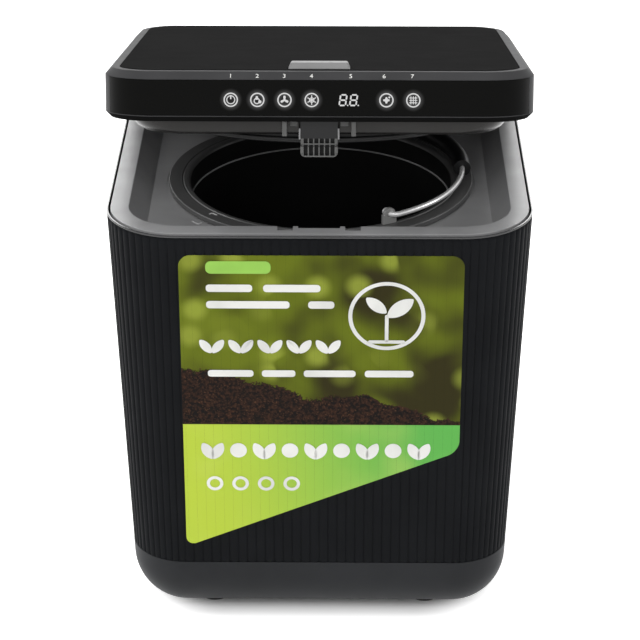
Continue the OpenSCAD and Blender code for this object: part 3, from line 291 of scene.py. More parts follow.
def join(piece, others):
    for other in others:
        take(other)
        piece.select_set(True)
        bpy.context.view_layer.objects.active = piece
        bpy.ops.object.join()


def swing(piece, pivot, angle, axis):
    """Turns a piece about an axis through a point."""
    piece.matrix_world = (Matrix.Translation(pivot) @ Matrix.Rotation(angle, 4, axis)
        @ Matrix.Translation(-pivot)) @ piece.matrix_world
    settle(piece)


def lean_back(piece):
    """Turns a piece that was modelled upright before the casing to lie along its drafted wall."""
    swing(piece, spot(0, 0, SLEEVE_TOP), math.atan(DRAFT), "X")


def open_lid(piece):
    """Turns a piece that was modelled on the closed lid to where the lid stands."""
    swing(piece, spot(0, HINGE_V, HINGE_Z), -LID_OPEN, "X")


def closed(point):
    """Where a point in mm on the open lid lies when the lid is closed."""
    hinge = Vector((0, FRONT_Y + HINGE_V, HINGE_Z))
    return hinge + Matrix.Rotation(LID_OPEN, 3, "X") @ (point - hinge)


# Flat signs: modelled upright, facing the front, at x and z on the plane v
def disc(name, x, z, r, v, sides=64):
    return start(bpy.ops.mesh.primitive_circle_add, name, vertices=sides, radius=r * MM, fill_type="NGON",
        calc_uvs=True, location=spot(x, v, z), rotation=(math.pi / 2, 0, 0))


def hoop(name, x, z, r, width, v, sides=64):
    piece = disc(name, x, z, r, v, sides)
    pick(piece, "FACE")
    inset(width)
    bpy.ops.mesh.delete(type="FACE")
    leave()
    return piece


def strip(name, x, z, length, width, turn, v, r=0.0):
    """Bar with its middle at x and z, turned by degrees from upright."""
    piece = start(bpy.ops.mesh.primitive_plane_add, name, size=1, scale=(width * MM, length * MM, 1),
        location=spot(x, v, z), rotation=(math.pi / 2, 0, 0))
    if r:
        round_corners(piece, r, 4)
    return spun(piece, x, z, turn, v)


def spun(piece, x, z, turn, v):
    """Turns a sign about the point x, z, clockwise as seen from the front."""
    swing(piece, spot(x, v, z), math.radians(turn), "Y")
    return piece


def leaf(name, x, z, length, width, turn, v):
    """Leaf that stands on x, z: two arcs that meet in points."""
    half = width / 2
    r = (length ** 2 / 4 + half ** 2) / (2 * half)
    piece = disc(name, x + half - r, z + length / 2, r, v, 192)
    edit(bpy.ops.mesh.bisect, piece, "FACE", plane_co=(x * MM, 0, 0), plane_no=(1, 0, 0), clear_inner=True)
    piece.location.x = -x * MM
    settle(piece)
    apply(piece, "MIRROR", use_axis=(True, False, False))
    piece.location.x = x * MM
    settle(piece)
    return spun(piece, x, z, turn, v)


def print_on(piece):
    """Gives a flat sign the thickness of printing ink."""
    apply(piece, "SOLIDIFY", thickness=INK * MM, offset=0.0)


# Shader arithmetic
class Signal:
    """A value in a finish's nodes that takes ordinary arithmetic."""

    def __init__(self, finish, socket):
        self.finish, self.socket = finish, socket

    def calc(self, operation, *values):
        return self.finish.node("Math", {"operation": operation}, dict(enumerate(values)))

    def __add__(self, other):
        return self.calc("ADD", self, other)

    def __sub__(self, other):
        return self.calc("SUBTRACT", self, other)

    def __rsub__(self, other):
        return self.calc("SUBTRACT", other, self)

    def __mul__(self, other):
        return self.calc("MULTIPLY", self, other)

    def __truediv__(self, other):
        return self.calc("DIVIDE", self, other)

    def __abs__(self):
        return self.calc("ABSOLUTE", self)

    __radd__ = __add__
    __rmul__ = __mul__

    def root(self):
        return self.calc("SQRT", self)

    def most(self, other):
        return self.calc("MAXIMUM", self, other)

    def twin(self, name):
        """Another output of the same node."""
        return Signal(self.finish, self.socket.node.outputs[name])

    def step(self, low, high):
        """Smooth step from 0 at low to 1 at high."""
        return self.finish.node("MapRange", {"interpolation_type": "SMOOTHSTEP"},
            {"Value": self, "From Min": low, "From Max": high})


class Finish:
    """A material in the making."""

    def __init__(self, name):
        self.material = bpy.data.materials.new(name)
        self.material.use_nodes = True
        self.tree = self.material.node_tree
        self.skin = self.tree.nodes["Principled BSDF"]

    def feed(self, socket, value):
        if isinstance(value, Signal):
            self.tree.links.new(value.socket, socket)
        elif isinstance(value, tuple) and len(value) == 3 and socket.type == "RGBA":
            socket.default_value = (*value, 1)
        else:
            socket.default_value = value

    def node(self, kind, settings=None, inputs=None, out=0):
        made = self.tree.nodes.new("ShaderNode" + kind)
        for key, value in (settings or {}).items():
            if key == "stops":
                ramp = made.color_ramp.elements
                while len(ramp) < len(value):
                    ramp.new(0.5)
                for stop, (at, colour) in zip(ramp, value):
                    stop.position = at
                    stop.color = (*colour, 1)
            else:
                setattr(made, key, value)
        for key, value in (inputs or {}).items():
            self.feed(made.inputs[key], value)
        return Signal(self, made.outputs[out])

    def place(self):
        return self.node("TexCoord", out="Object")

    def noise(self, size, detail=2.0, where=None, rough=0.5):
        """Cloudy pattern with features of a size in millimetres."""
        return self.node("TexNoise", {}, {"Vector": where or self.place(), "Scale": 1 / (size * MM),
            "Detail": detail, "Roughness": rough})

    def mix(self, factor, a, b):
        return self.node("Mix", {"data_type": "RGBA"}, {"Factor": factor, 6: a, 7: b}, out=2)

    def paint(self, **inputs):
        for key, value in inputs.items():
            self.feed(self.skin.inputs[key.replace("_", " ")], value)
        return self

    def bump(self, height, strength, depth):
        """Surface relief; depth is its height in millimetres."""
        relief = self.node("Bump", {}, {"Height": height, "Strength": strength, "Distance": depth * MM})
        return self.paint(Normal=relief)


BLACK, WHITE = (0.0, 0.0, 0.0), (1.0, 1.0, 1.0)


def srgb(r, g, b):
    def linear(c):
        c /= 255
        return c / 12.92 if c <= 0.04045 else ((c + 0.055) / 1.055) ** 2.4
    return tuple(linear(c) for c in (r, g, b))


def shade(colour, k):
    return tuple(min(c * k, 1) for c in colour)


def moulded(name, rgb, rough, grain=0.35, relief=0.03, specular=0.5, metallic=0.0):
    """Moulded plastic: spark-eroded grain, slight clouding and roughness that wanders."""
    cloud, sheen = 40, 0.06
    f, colour = Finish(name), srgb(*rgb)
    mottling = f.noise(cloud, 3)
    texture = f.noise(grain, 2)
    flow = f.noise(cloud * 0.4, 4)
    f.paint(Base_Color=f.mix(mottling.step(0.3, 0.7), shade(colour, 0.9), shade(colour, 1.1)),
        Roughness=rough + (flow - 0.5) * sheen * 2 + (texture - 0.5) * 0.06,
        Specular_IOR_Level=specular, Metallic=metallic)
    return f.bump(texture * 0.7 + f.noise(grain * 3, 1) * 0.3, 0.5, relief)


def metal(name, rgb, rough, direction=(1, 1, 30), size=1.2, relief=0.01):
    """Machined or drawn metal with fine lines along one direction."""
    f, colour = Finish(name), srgb(*rgb)
    where = f.node("Mapping", {}, {"Vector": f.place(), "Scale": direction})
    lines = f.noise(size, 4, where)
    tarnish = f.noise(12, 3)
    f.paint(Base_Color=f.mix(tarnish.step(0.25, 0.75), shade(colour, 0.86), colour), Metallic=1.0,
        Roughness=rough + (lines - 0.5) * 0.1 + (tarnish - 0.5) * 0.08)
    return f.bump(lines, 0.4, relief)


ribbed_plastic = moulded("ribbed_charcoal", (26, 27, 29), 0.54, grain=0.5, relief=0.02, specular=0.03)
tub_plastic = moulded("tub_charcoal", (46, 47, 49), 0.46, grain=0.5, relief=0.02, specular=0.08)
deck_plastic = moulded("deck_grey", (144, 144, 145), 0.36, grain=0.4, relief=0.015)
black_plastic = moulded("black_satin", (22, 22, 23), 0.38, specular=0.4)
lid_plastic = moulded("lid_satin", (62, 62, 63), 0.38, grain=0.4, relief=0.015, specular=0.03)
# Dark matt plastic of the lid's top plate; also put on the lid shell's lower chamfer and underside as painted
# shade
lid_matt_and_painted_shade = moulded("lid_matt_and_painted_shade", (20, 20, 20), 0.85, grain=0.4, relief=0.015, specular=0.01)
# Lighter, glossier copy of the sleeve's plastic: a painted highlight along the sleeve's top lip
sleeve_lip_painted_highlight = moulded("sleeve_lip_painted_highlight", (46, 46, 47), 0.22, grain=0.5, relief=0.01, specular=0.7)
# Near-black: painted shade inside the deep bucket below its rim and in the latch tongue's cells
recess_painted_shade = moulded("recess_painted_shade", (12, 12, 12), 0.45, grain=0.6, relief=0.02, specular=0.25)
liner_plastic = moulded("liner_grey", (38, 37, 36), 0.24, specular=0.3, metallic=0.5)
button_plastic = moulded("button_grey", (112, 112, 112), 0.42, grain=0.4)
# Light grey on the fill ledge inside the bucket: a painted highlight where the ledge catches light
fill_ledge_painted_highlight = moulded("fill_ledge_painted_highlight", (150, 150, 150), 0.3, relief=0.005)
# Mid grey plastic of the latch guides; also put on the latch tongue's front faces as a painted highlight
latch_grey_and_painted_highlight = moulded("latch_grey_and_painted_highlight", (88, 88, 87), 0.34)
mark_grey = moulded("mark_grey", (196, 196, 196), 0.35, relief=0.005)
nylon = moulded("natural_nylon", (226, 224, 212), 0.45)
silicone = moulded("soft_silicone", (20, 20, 20), 0.62, grain=0.8)
foot_rubber = moulded("foot_rubber", (22, 22, 22), 0.78, grain=1.2, relief=0.05)
bucket_coat = moulded("bucket_coating", (78, 78, 78), 0.34, grain=0.6, relief=0.02, specular=0.5)
steel = metal("machined_steel", (176, 177, 180), 0.28)
wire_steel = moulded("plated_wire", (240, 240, 240), 0.26, grain=0.2, relief=0.004, metallic=0.45)
lug_alloy = moulded("lug_alloy", (150, 150, 149), 0.42, grain=0.5, metallic=0.2)
cast_alloy = metal("cast_alloy", (172, 172, 170), 0.5, direction=(1, 1, 1), size=0.8, relief=0.04)
bronze = metal("sintered_bronze", (176, 138, 74), 0.45, direction=(1, 1, 1), size=0.5)


def wool_blanket():
    f = Finish("wool_blanket")
    where = f.node("Mapping", {}, {"Vector": f.place(), "Scale": (1, 1, 5)})
    fibre = f.noise(1.5, 6, where)
    f.paint(Base_Color=f.mix(fibre.step(0.3, 0.7), srgb(168, 160, 140), srgb(222, 216, 200)), Roughness=0.9)
    return f.bump(fibre, 0.8, 0.6)


def circuit_board():
    f = Finish("circuit_board")
    cells = f.node("TexVoronoi", {"feature": "DISTANCE_TO_EDGE"}, {"Vector": f.place(), "Scale": 260.0})
    track = cells.step(0.05, 0.09)
    f.paint(Base_Color=f.mix(track, srgb(70, 130, 84), srgb(14, 64, 36)), Roughness=0.35 + track * 0.1)
    return f.bump(track, 0.4, 0.05)


def carbon_bed():
    f = Finish("carbon_granules")
    grains = f.node("TexVoronoi", {}, {"Vector": f.place(), "Scale": 420.0})
    f.paint(Base_Color=f.mix(grains, srgb(34, 34, 34), srgb(12, 12, 12)), Roughness=0.55)
    return f.bump(grains, 0.9, 0.5)


def panel_black(f):
    """Black under the clear coat, with specks of dust."""
    return f.mix(f.noise(0.6, 1).step(0.62, 0.8), srgb(7, 7, 6), srgb(13, 12, 11))


def gloss_panel():
    """Black touch panel under a clear hard coat, with faint wipe marks."""
    f = Finish("gloss_panel")
    marks = f.noise(22, 4)
    return f.paint(Base_Color=panel_black(f), Roughness=0.07 + (marks - 0.5) * 0.05, Specular_IOR_Level=0.08)


def lit(name, colour, strength):
    """Light that shines through the panel, a little uneven as light guides are."""
    f = Finish(name)
    uneven = f.noise(1.6, 2)
    return f.paint(Base_Color=srgb(20, 20, 20), Roughness=0.3, Emission_Strength=strength,
        Emission_Color=f.mix(uneven, shade(colour, 0.75), colour))


def halo_finish():
    """Soft light round a key, brightest under its ring; it reads the disc's own UV map."""
    f = Finish("key_halo")
    where = f.node("UVMap", {"uv_map": "UVMap"})
    split = f.node("SeparateXYZ", {}, {"Vector": where})
    x, y = split - 0.5, split.twin("Y") - 0.5
    from_middle = (x * x + y * y).root() * 2
    strength = (1 - from_middle.step(0.45, 1.0)) * (0.25 + 0.75 * from_middle.step(0.2, 0.5))
    return f.paint(Base_Color=panel_black(f), Roughness=0.1, Specular_IOR_Level=0.08, Emission_Strength=0.06,
        Emission_Color=f.mix(strength, BLACK, WHITE))


wool = wool_blanket()
board = circuit_board()
carbon = carbon_bed()
gloss = gloss_panel()
white_ink = moulded("white_ink", (236, 236, 232), 0.5, grain=0.3, relief=0.005)
badge_ink = moulded("badge_ink", (150, 204, 78), 0.4, grain=0.3, relief=0.005)
glow = lit("key_light", WHITE, 0.75)
halo = halo_finish()


def dress(piece, finish, body=None, stands_for=(), angle=34):
    """Gives a new piece its finish and its body, and hides the CAD nodes it stands for."""
    piece.data.materials.clear()
    piece.data.materials.append(finish.material)
    smooth(piece, angle)
    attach(piece, body)
    if stands_for:
        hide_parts(*stands_for)


def also(piece, finish, test):
    """Second finish on the faces that pass a test of their middle in mm."""
    piece.data.materials.append(finish.material)
    pick(piece, "FACE", test)
    piece.active_material_index = len(piece.data.materials) - 1
    bpy.ops.object.material_slot_assign()
    leave()


# Casing
def flute_height(point):
    """Height of the flutes at a point of the sleeve, 1 on a crest and on the lip, 0 in a valley."""
    flat_x, flat_y = CASING_HW - CASING_R, CASING_HD - CASING_R
    x, y = point.x, point.y - (FRONT_Y + CASING_HD)
    if abs(x) <= flat_x + 0.01 and abs(y) > flat_y:
        at = (x + flat_x) / (2 * flat_x) * FRONT_FLUTES
    elif abs(y) <= flat_y + 0.01:
        at = (y + flat_y) / (2 * flat_y) * SIDE_FLUTES
    else:
        at = math.atan2(abs(y) - flat_y, abs(x) - flat_x) / (math.pi / 2) * CORNER_FLUTES
    across = (at - math.floor(at) - 0.5) * 2
    below = SLEEVE_TOP - point.z
    if below < 1.25:
        return 1.0 if below > 0.2 else 0.72
    if below < 1.65:
        return 0.0
    along = max(0.0, 1 - (below - 1.7) / 3.0)
    foot = max(0.0, 1 - (point.z - SEAM_Z) / 1.0)
    d2 = across ** 2 + along ** 2 + (0.6 * foot) ** 2
    return math.sqrt(max(0.0, 1 - d2))


def make_sleeve():
    flute, corner_steps = 0.9, 104
    piece = plate("ribbed_sleeve_skin", CASING_HW - flute, flute, 2 * CASING_HD - flute, CASING_R - flute,
        SLEEVE_TOP, corner_steps)
    edit(bpy.ops.mesh.delete, piece, "FACE", type="ONLY_FACE")
    for long_side, coarse, fine in ((lambda a, b: abs(a.x - b.x) > 20, 2, 79),
            (lambda a, b: abs(a.y - b.y) > 20, 3, 73)):
        pick(piece, "EDGE", long_side)
        bpy.ops.mesh.subdivide(number_cuts=coarse)
        bpy.ops.mesh.subdivide(number_cuts=fine)
        leave()
    edit(bpy.ops.mesh.edge_face_add, piece, "EDGE")
    if piece.data.polygons[0].normal.z < 0:
        flip(piece)
    levels = [0.15, 0.4, 1.2, 1.4, 1.7, 1.85, 2.05, 2.35, 2.7, 3.15, 3.7, 4.3, 4.75]
    total = SLEEVE_TOP - SEAM_Z
    levels += [total * k / 6 for k in range(1, 6)] + [total - 1.0, total - 0.6, total - 0.3, total]
    steps, last = [], 0.0
    for level in levels:
        steps.append(((level - last) * DRAFT, -(level - last)))
        last = level
    rings(piece, steps)
    clear_faces(piece, lambda c, n: abs(n.z) > 0.9)
    face_out(piece)
    group = piece.vertex_groups.new(name="flutes")
    for point in piece.data.vertices:
        group.add([point.index], flute_height(point.co / MM), "REPLACE")
    apply(piece, "DISPLACE", strength=flute * MM, mid_level=0.0, vertex_group="flutes", direction="NORMAL")
    # Inner lip that closes the sleeve's top edge
    lip, lip_depth = 0.7, 11
    hw, hd = CASING_HW - 0.25, CASING_HD - 0.25
    pick(piece, "EDGE", lambda a, b: min(a.z, b.z) > SLEEVE_TOP - 0.1)
    extrude(0)
    widen((hw - lip) / hw, (hd - lip) / hd, spot(0, CASING_HD, SLEEVE_TOP))
    extrude(-lip_depth)
    leave()
    # Opening in the back for the rear panel
    carve(piece, box("cut", -78, 78, 280, 340, 62, 252))
    dress(piece, ribbed_plastic, "base", ["ribbed_sleeve"], angle=60)
    # Painted highlight: the top lip's faces get the lighter, glossier copy of the sleeve's plastic
    also(piece, sleeve_lip_painted_highlight, lambda c, n: c.z > SLEEVE_TOP - 1.3 and n.z > -0.5)


def make_tub():
    top, foot, round_r, turns = SEAM_Z - 0.3, 4.0, 36.0, 20
    inset_top = (SLEEVE_TOP - top) * DRAFT
    shape = (CASING_HW - inset_top - 0.4, inset_top + 0.4, 2 * CASING_HD - inset_top - 0.4,
        CASING_R - inset_top - 0.4, top, 32)
    # Lip that runs up inside the sleeve
    piece = plate("tub_skin", *shape)
    pick(piece, "FACE")
    for step in ((1.3, 0), (0, 6), (2.4, 0), (0.01, -30)):
        inset(*step)
    bpy.ops.mesh.delete(type="FACE")
    leave()
    # Outside with its large lower radius, drawn down from the seam
    outer = plate("tub_side", *shape)
    line = [(0.4, top), (0.12, top - 0.12), (0.0, top - 0.4)]
    for k in range(turns + 1):
        a = math.pi / 2 * (1 - k / turns)
        z = foot + round_r * (1 - math.cos(a))
        line.append(((top - z) * DRAFT + round_r * (1 - math.sin(a)), z))
    pick(outer, "FACE")
    for (i_now, z_now), (i_next, z_next) in zip(line, line[1:]):
        if i_next >= i_now:
            inset(i_next - i_now, z_next - z_now)
        else:
            grow_ring(i_now - i_next, z_next - z_now)
    leave()
    join(piece, [outer])
    weld(piece)
    face_out(piece)
    dress(piece, tub_plastic, "base", ["base_tub"], angle=50)


def grow_ring(outset, rise):
    """Takes the selected face outwards by a little all round."""
    hw = CASING_HW - (SLEEVE_TOP - SEAM_Z) * DRAFT
    hd = CASING_HD - (SLEEVE_TOP - SEAM_Z) * DRAFT
    extrude(rise)
    widen(1 + outset / hw, 1 + outset / hd, spot(0, CASING_HD, SEAM_Z))


def make_deck():
    """Rim, sloping walls, floor with the bucket's well, pocket, notches and openings."""
    rim_hw, rim_hd, rim_r = 137.1, 157.6, 45.6
    v0, v1 = CASING_HD - rim_hd, CASING_HD + rim_hd
    bottom, skirt, top = 283.6, 288.0, 305
    back_drawn, back_wanted = 305.1, 286
    piece = plate("deck_skin", rim_hw, v0, v1, rim_r, bottom, CORNER_STEPS)
    rings(piece, [(0, 15.7), (0.2, 0.45), (0.5, 0.25), (11.3, 0), (0.5, -0.3)])
    # The recess ends further in at the back than at the sides
    edit(bpy.ops.transform.translate, piece, "VERT",
        lambda p: p.y - FRONT_Y > 265 and inward(p, rim_hw, rim_hd, rim_r) > 11,
        value=(0, (back_wanted - back_drawn) * MM, 0))
    # Walls of the recess slope down to the deck
    pick(piece, "FACE", lambda c, n: n.z > 0.9 and 299.5 < c.z < 299.9 and abs(c.x) < 1 and abs(c.y) < 60)
    inset(10.3, -13.4)
    inset(0.8, -0.5)
    leave()
    cap_open(piece)
    outside = slab([(0, skirt - bottom + 5)], "cut", rim_hw + 5, v0 - 5, v1 + 5, rim_r, bottom - 5,
        CORNER_STEPS)
    carve(outside, slab([(0, 20)], "cut", rim_hw - 4, v0 + 4, v1 - 4, rim_r - 4, bottom - 6, CORNER_STEPS))
    carve(piece, outside)
    # Well of the bucket, pocket of the latch, its two notches, intake opening and hinge pockets
    tools = [drum("cut", 0, BUCKET_V, z0, top, r, 160) for z0, r in ((285.5, 105.3), (270, 97))]
    tools += [box("cut", *size) for size in (
        (-13.5, 13.5, 11.6, 40, 270, top), (-13.5, 13.5, 7, 40, 270, 288),
        (-26.8, -16.8, 8, 25.5, DECK_Z, top), (16.8, 26.8, 8, 25.5, DECK_Z, top),
        (-42, 42, 251.6, 272, 270, 290))]
    tools += [box("cut", s * HINGE_X - 6, s * HINGE_X + 6, 298.35, 312.35, 292, top) for s in (-1, 1)]
    carve(piece, *tools)
    soften(piece, 0.45, 2, 40)
    dress(piece, deck_plastic, "base", ["top_deck"], angle=30)


make_sleeve()
make_tub()
make_deck()


# Label
def label_finish():
    """Generic printed film: a blurred garden above dark soil, and a green field below."""
    f = Finish("printed_label")
    x = f.node("SeparateXYZ", {}, {"Vector": f.place()})
    z = x.twin("Z")
    split = 0.160
    # Lower field: yellow-green at the left to a fuller green at the right
    along = ((x + 0.0904) / 0.184 + (z - 0.11) * 1.2).step(0.0, 1.0)
    field = f.mix(along, srgb(196, 218, 74), srgb(104, 188, 88))
    swirl = f.noise(60, 2)
    field = f.mix((swirl - 0.5).step(0.0, 0.25) * 0.35, field, srgb(214, 228, 120))
    # Upper picture: blurred olive garden with soft patches of light
    depth = f.noise(44, 1.5)
    leaves = f.mix(depth.step(0.34, 0.66), srgb(48, 44, 12), srgb(108, 120, 26))
    flat = f.node("CombineXYZ", {}, {"X": x, "Y": z})
    for size, soft, power, tint in ((26.0, 0.30, 0.75, srgb(160, 172, 66)),
            (40.0, 0.34, 0.6, srgb(132, 146, 40))):
        cells = f.node("TexVoronoi", {"voronoi_dimensions": "2D", "feature": "SMOOTH_F1"}, {"Vector": flat,
            "Scale": 1 / (size * MM), "Randomness": 1.0, "Smoothness": 0.4})
        chance = f.node("SeparateXYZ", {}, {"Vector": cells.twin("Color")})
        spot = (1 - cells.step(0.10, 0.14 + soft)) * chance.step(0.35, 0.9)
        leaves = f.mix(spot * power, leaves, tint)
    # Soil: heap that falls to the right, with crumbs and small bright bits
    crumbs = f.noise(2.2, 6, rough=0.65)
    heap = 0.184 - x * 0.2 + (f.noise(38, 2) - 0.5) * 0.045 + (crumbs - 0.5) * 0.012
    soil = f.mix(crumbs.step(0.40, 0.68), srgb(9, 5, 3), srgb(60, 36, 24))
    soil = f.mix(f.noise(1.1, 3).step(0.62, 0.72) * 0.5, soil, srgb(120, 84, 56))
    picture = f.mix((heap - z).step(-0.0006, 0.0006), leaves, soil)
    whole = f.mix((z - split).step(-0.0001, 0.0001), field, picture)
    f.paint(Base_Color=whole, Roughness=0.36 + (swirl - 0.5) * 0.06, Specular_IOR_Level=0.1)
    return f.bump(f.noise(3, 2), 0.15, 0.02)


def make_label():
    x0, x1, z0, z1, cut, r = -90.4, 93.5, 67.0, 285.5, 144.8, 8.0
    piece = start(bpy.ops.mesh.primitive_plane_add, "front_label_film", size=1,
        location=((x0 + x1) / 2 * MM, y_of(0), (z0 + z1) / 2 * MM), rotation=(math.pi / 2, 0, 0),
        scale=((x1 - x0) * MM, (z1 - z0) * MM, 1))
    slope = (cut - z0 - r) / (x1 - x0 - 2 * r)
    low_right = cut - r * math.sqrt(1 + slope ** 2) + slope * r
    low_left = z0 + r - r * math.sqrt(1 + slope ** 2) - slope * r
    for target, old in ((low_right, x1), (low_left, x0)):
        edit(bpy.ops.transform.translate, piece, "VERT", lambda p: p.z < (z0 + z1) / 2 and abs(p.x - old) < 1,
            value=(0, 0, (target - z0) * MM))
    round_corners(piece, r, 10)
    apply(piece, "SOLIDIFY", thickness=0.35 * MM, offset=-1.0)
    face_out(piece)
    lean_back(piece)
    dress(piece, label_finish(), "base", ["front_label"])


def make_label_art():
    """White signs printed on the film: a seedling in a round frame, short lines, leaves and seeds."""
    v = -0.38
    x, z = 44.0, 242.0
    signs = [hoop("frame", x, z, 25, 2.6, v, 128), strip("stem", x, z - 9, 20, 2.4, 0, v, 1.1),
        leaf("leaf", x, z - 1, 22, 10, 52, v), leaf("leaf", x, z + 2, 18, 8, -50, v),
        strip("ground", x, z - 19, 24, 2.4, 90, v, 1.1)]
    for middle, up, length in ((-58.0, 262, 30), (-17.5, 262, 37), (-46.0, 250, 54), (1.5, 250, 17)):
        signs.append(strip("line", middle, up, length, 5.4, 90, v, 2.2))
    for k in range(5):
        signs += [leaf("leaf", -70 + 19.0 * k, 214, 13, 6.0, turn, v) for turn in (38, -38)]
    for middle, length in ((-58.0, 30), (-26.5, 22), (7.0, 34), (46.0, 32)):
        signs.append(strip("line", middle, 199, length, 5.0, 90, v, 2.0))
    for k in range(9):
        where = -71 + 17.2 * k
        signs += [disc("seed", where, 140, 5.6, v, 48)] if k % 2 else [
            leaf("leaf", where, 133, 14.5, 7.4, turn, v) for turn in (28, -28)]
    for k in range(4):
        signs.append(hoop("seed", -70 + 17.2 * k, 114, 5.6, 2.2, v, 48))
    join(signs[0], signs[1:])
    rename(signs[0], "label_signs")
    badge = strip("label_badge", -52, 277, 42, 9, 90, -0.36, 3.5)
    for art, ink in ((signs[0], white_ink), (badge, badge_ink)):
        print_on(art)
        lean_back(art)
        dress(art, ink, "base", angle=20)


make_label()
make_label_art()


# Bucket and bail
def from_axis(point):
    """Distance of a point in mm from the bucket's axis."""
    return Vector((point.x, point.y - FRONT_Y - BUCKET_V)).length


def make_bucket():
    ri, wall, taper = 89.0, 2.2, 5.0
    base, fill = FLANGE_Z - 146.0, FLANGE_Z - 15.5
    low = ri + wall - taper
    heel = 14.0
    arc = [(low - heel + heel * math.sin(a), base + heel - heel * math.cos(a))
        for a in (math.radians(k * 9) for k in range(11))]
    inner = [(low - heel + (heel - 2.6) * math.sin(a), base + heel - (heel - 2.6) * math.cos(a))
        for a in (math.radians(k * 15) for k in range(6, -1, -1))]
    rim = [(r, FLANGE_Z - drop) for r, drop in ((ri + wall, 4.6), (ri + wall + 0.4, 4.2), (103.2, 4.2),
        (103.8, 3.6), (103.8, 0.9), (103.5, 0.3), (102.9, 0), (94.8, 0), (94.3, 0.5), (93.8, 0.5), (93.3, 0),
        (91.6, 0), (90.2, 0.4), (89.4, 1.2), (ri, 2.4))]
    ledge = [(ri, fill + 0.25), (ri - 0.2, fill), (ri - 0.75, fill - 0.1), (ri - 0.8, fill - 0.5)]
    bush = [(r, base + up) for r, up in ((25.2, 2.6), (25.0, 16.6), (12.0, 16.6), (12.0, 18.6), (8.05, 18.6),
        (8.05, 14.0), (22.4, 14.0), (22.4, 0))]
    profile = [(22.4, base)] + arc + rim + ledge + inner + bush
    piece = turned("bucket_shell", 0, BUCKET_V, profile, 160)
    weld(piece)
    face_out(piece)
    dress(piece, bucket_coat, "bucket_body", ["bucket"], angle=40)
    # Painted shade: the inside of the bucket below the rim is darker than its coating
    also(piece, recess_painted_shade, lambda c, n: c.z < FLANGE_Z - 2.6 and from_axis(c) < ri + 0.2)
    # Painted highlight on the fill ledge's faces
    also(piece, fill_ledge_painted_highlight, lambda c, n: fill - 0.35 < c.z < fill + 0.2 and from_axis(c) < ri + 0.1)


def make_mark(name, corners, z, body):
    """Raised tick of two bars through three points (x, v)."""
    bars = []
    for (xa, va), (xb, vb) in zip(corners, corners[1:]):
        length = math.hypot(xb - xa, vb - va)
        bar = start(bpy.ops.mesh.primitive_cube_add, name, size=1, scale=(length * MM, 0.9 * MM, 0.5 * MM),
            location=((xa + xb) / 2 * MM, (y_of(va) + y_of(vb)) / 2, (z + 0.2) * MM),
            rotation=(0, 0, math.atan2(vb - va, xb - xa)))
        soften(bar, 0.2, 2)
        bars.append(bar)
    join(bars[0], bars[1:])
    dress(bars[0], mark_grey, body)


def bail_point(r, angle):
    """Point of the bail's line, at an angle from its right ear."""
    a = math.radians(-60.7) + angle
    return Vector((r * math.cos(a) * MM, y_of(BUCKET_V) + r * math.sin(a) * MM, BAIL_Z * MM))


def tube(name, points, r, steps=12):
    """Round bar along a line of points."""
    data = bpy.data.curves.new(name, "CURVE")
    data.dimensions = "3D"
    line = data.splines.new("POLY")
    line.points.add(len(points) - 1)
    for p, at in zip(line.points, points):
        p.co = (*at, 1)
    data.bevel_depth = r * MM
    data.bevel_resolution = steps
    data.use_fill_caps = True
    piece = bpy.data.objects.new(name, data)
    bpy.context.scene.collection.objects.link(piece)
    take(piece)
    bpy.ops.object.convert(target="MESH")
    piece = bpy.context.object
    weld(piece, 1e-7)
    return piece


def make_bail():
    r, bend, ear_r = 96.5, 5.0, 88.0
    skip = bend / r
    corner = [(r - bend + bend * math.sin(t), bend / r * (1 - math.cos(t)))
        for t in (math.radians(k * 11.25) for k in range(1, 9))]
    span = math.pi - 2 * skip
    line = [(ear_r, 0), (r - bend, 0)] + corner + [(r, skip + span * k / 90) for k in range(1, 90)]
    line += [(q, math.pi - a) for q, a in reversed(corner)] + [(r - bend, math.pi), (ear_r, math.pi)]
    wire = tube("bail_wire_bar", [bail_point(q, a) for q, a in line], 1.8, 6)
    heads = [tube("tip", [bail_point(ear_r, a), bail_point(89.2, a)], 2.6, 6) for a in (0, math.pi)]
    for head in heads:
        soften(head, 0.3, 2)
    join(wire, heads)
    dress(wire, wire_steel, "bail", ["bail_wire"], angle=50)
    a0, a1 = math.radians(59), math.radians(121)
    grip = tube("bail_grip_sleeve", [bail_point(r, a0 + (a1 - a0) * k / 40) for k in range(41)], 5.8, 10)
    soften(grip, 1.6, 4, 60)
    dress(grip, black_plastic, "bail", ["bail_grip"], angle=40)


make_bucket()
make_bail()
make_mark("deck_mark", ((-84.2, 54.0), (-80.0, 49.1), (-77.4, 51.3)), DECK_Z, "base")
make_mark("bucket_mark", ((-67.7, 54.4), (-71.1, 57.7), (-72.9, 55.9)), FLANGE_Z, "bucket_body")
make_mark("fill_tick", ((-81.9, 91.9), (-80.6, 89.2)), FLANGE_Z - 15.9, "bucket_body")


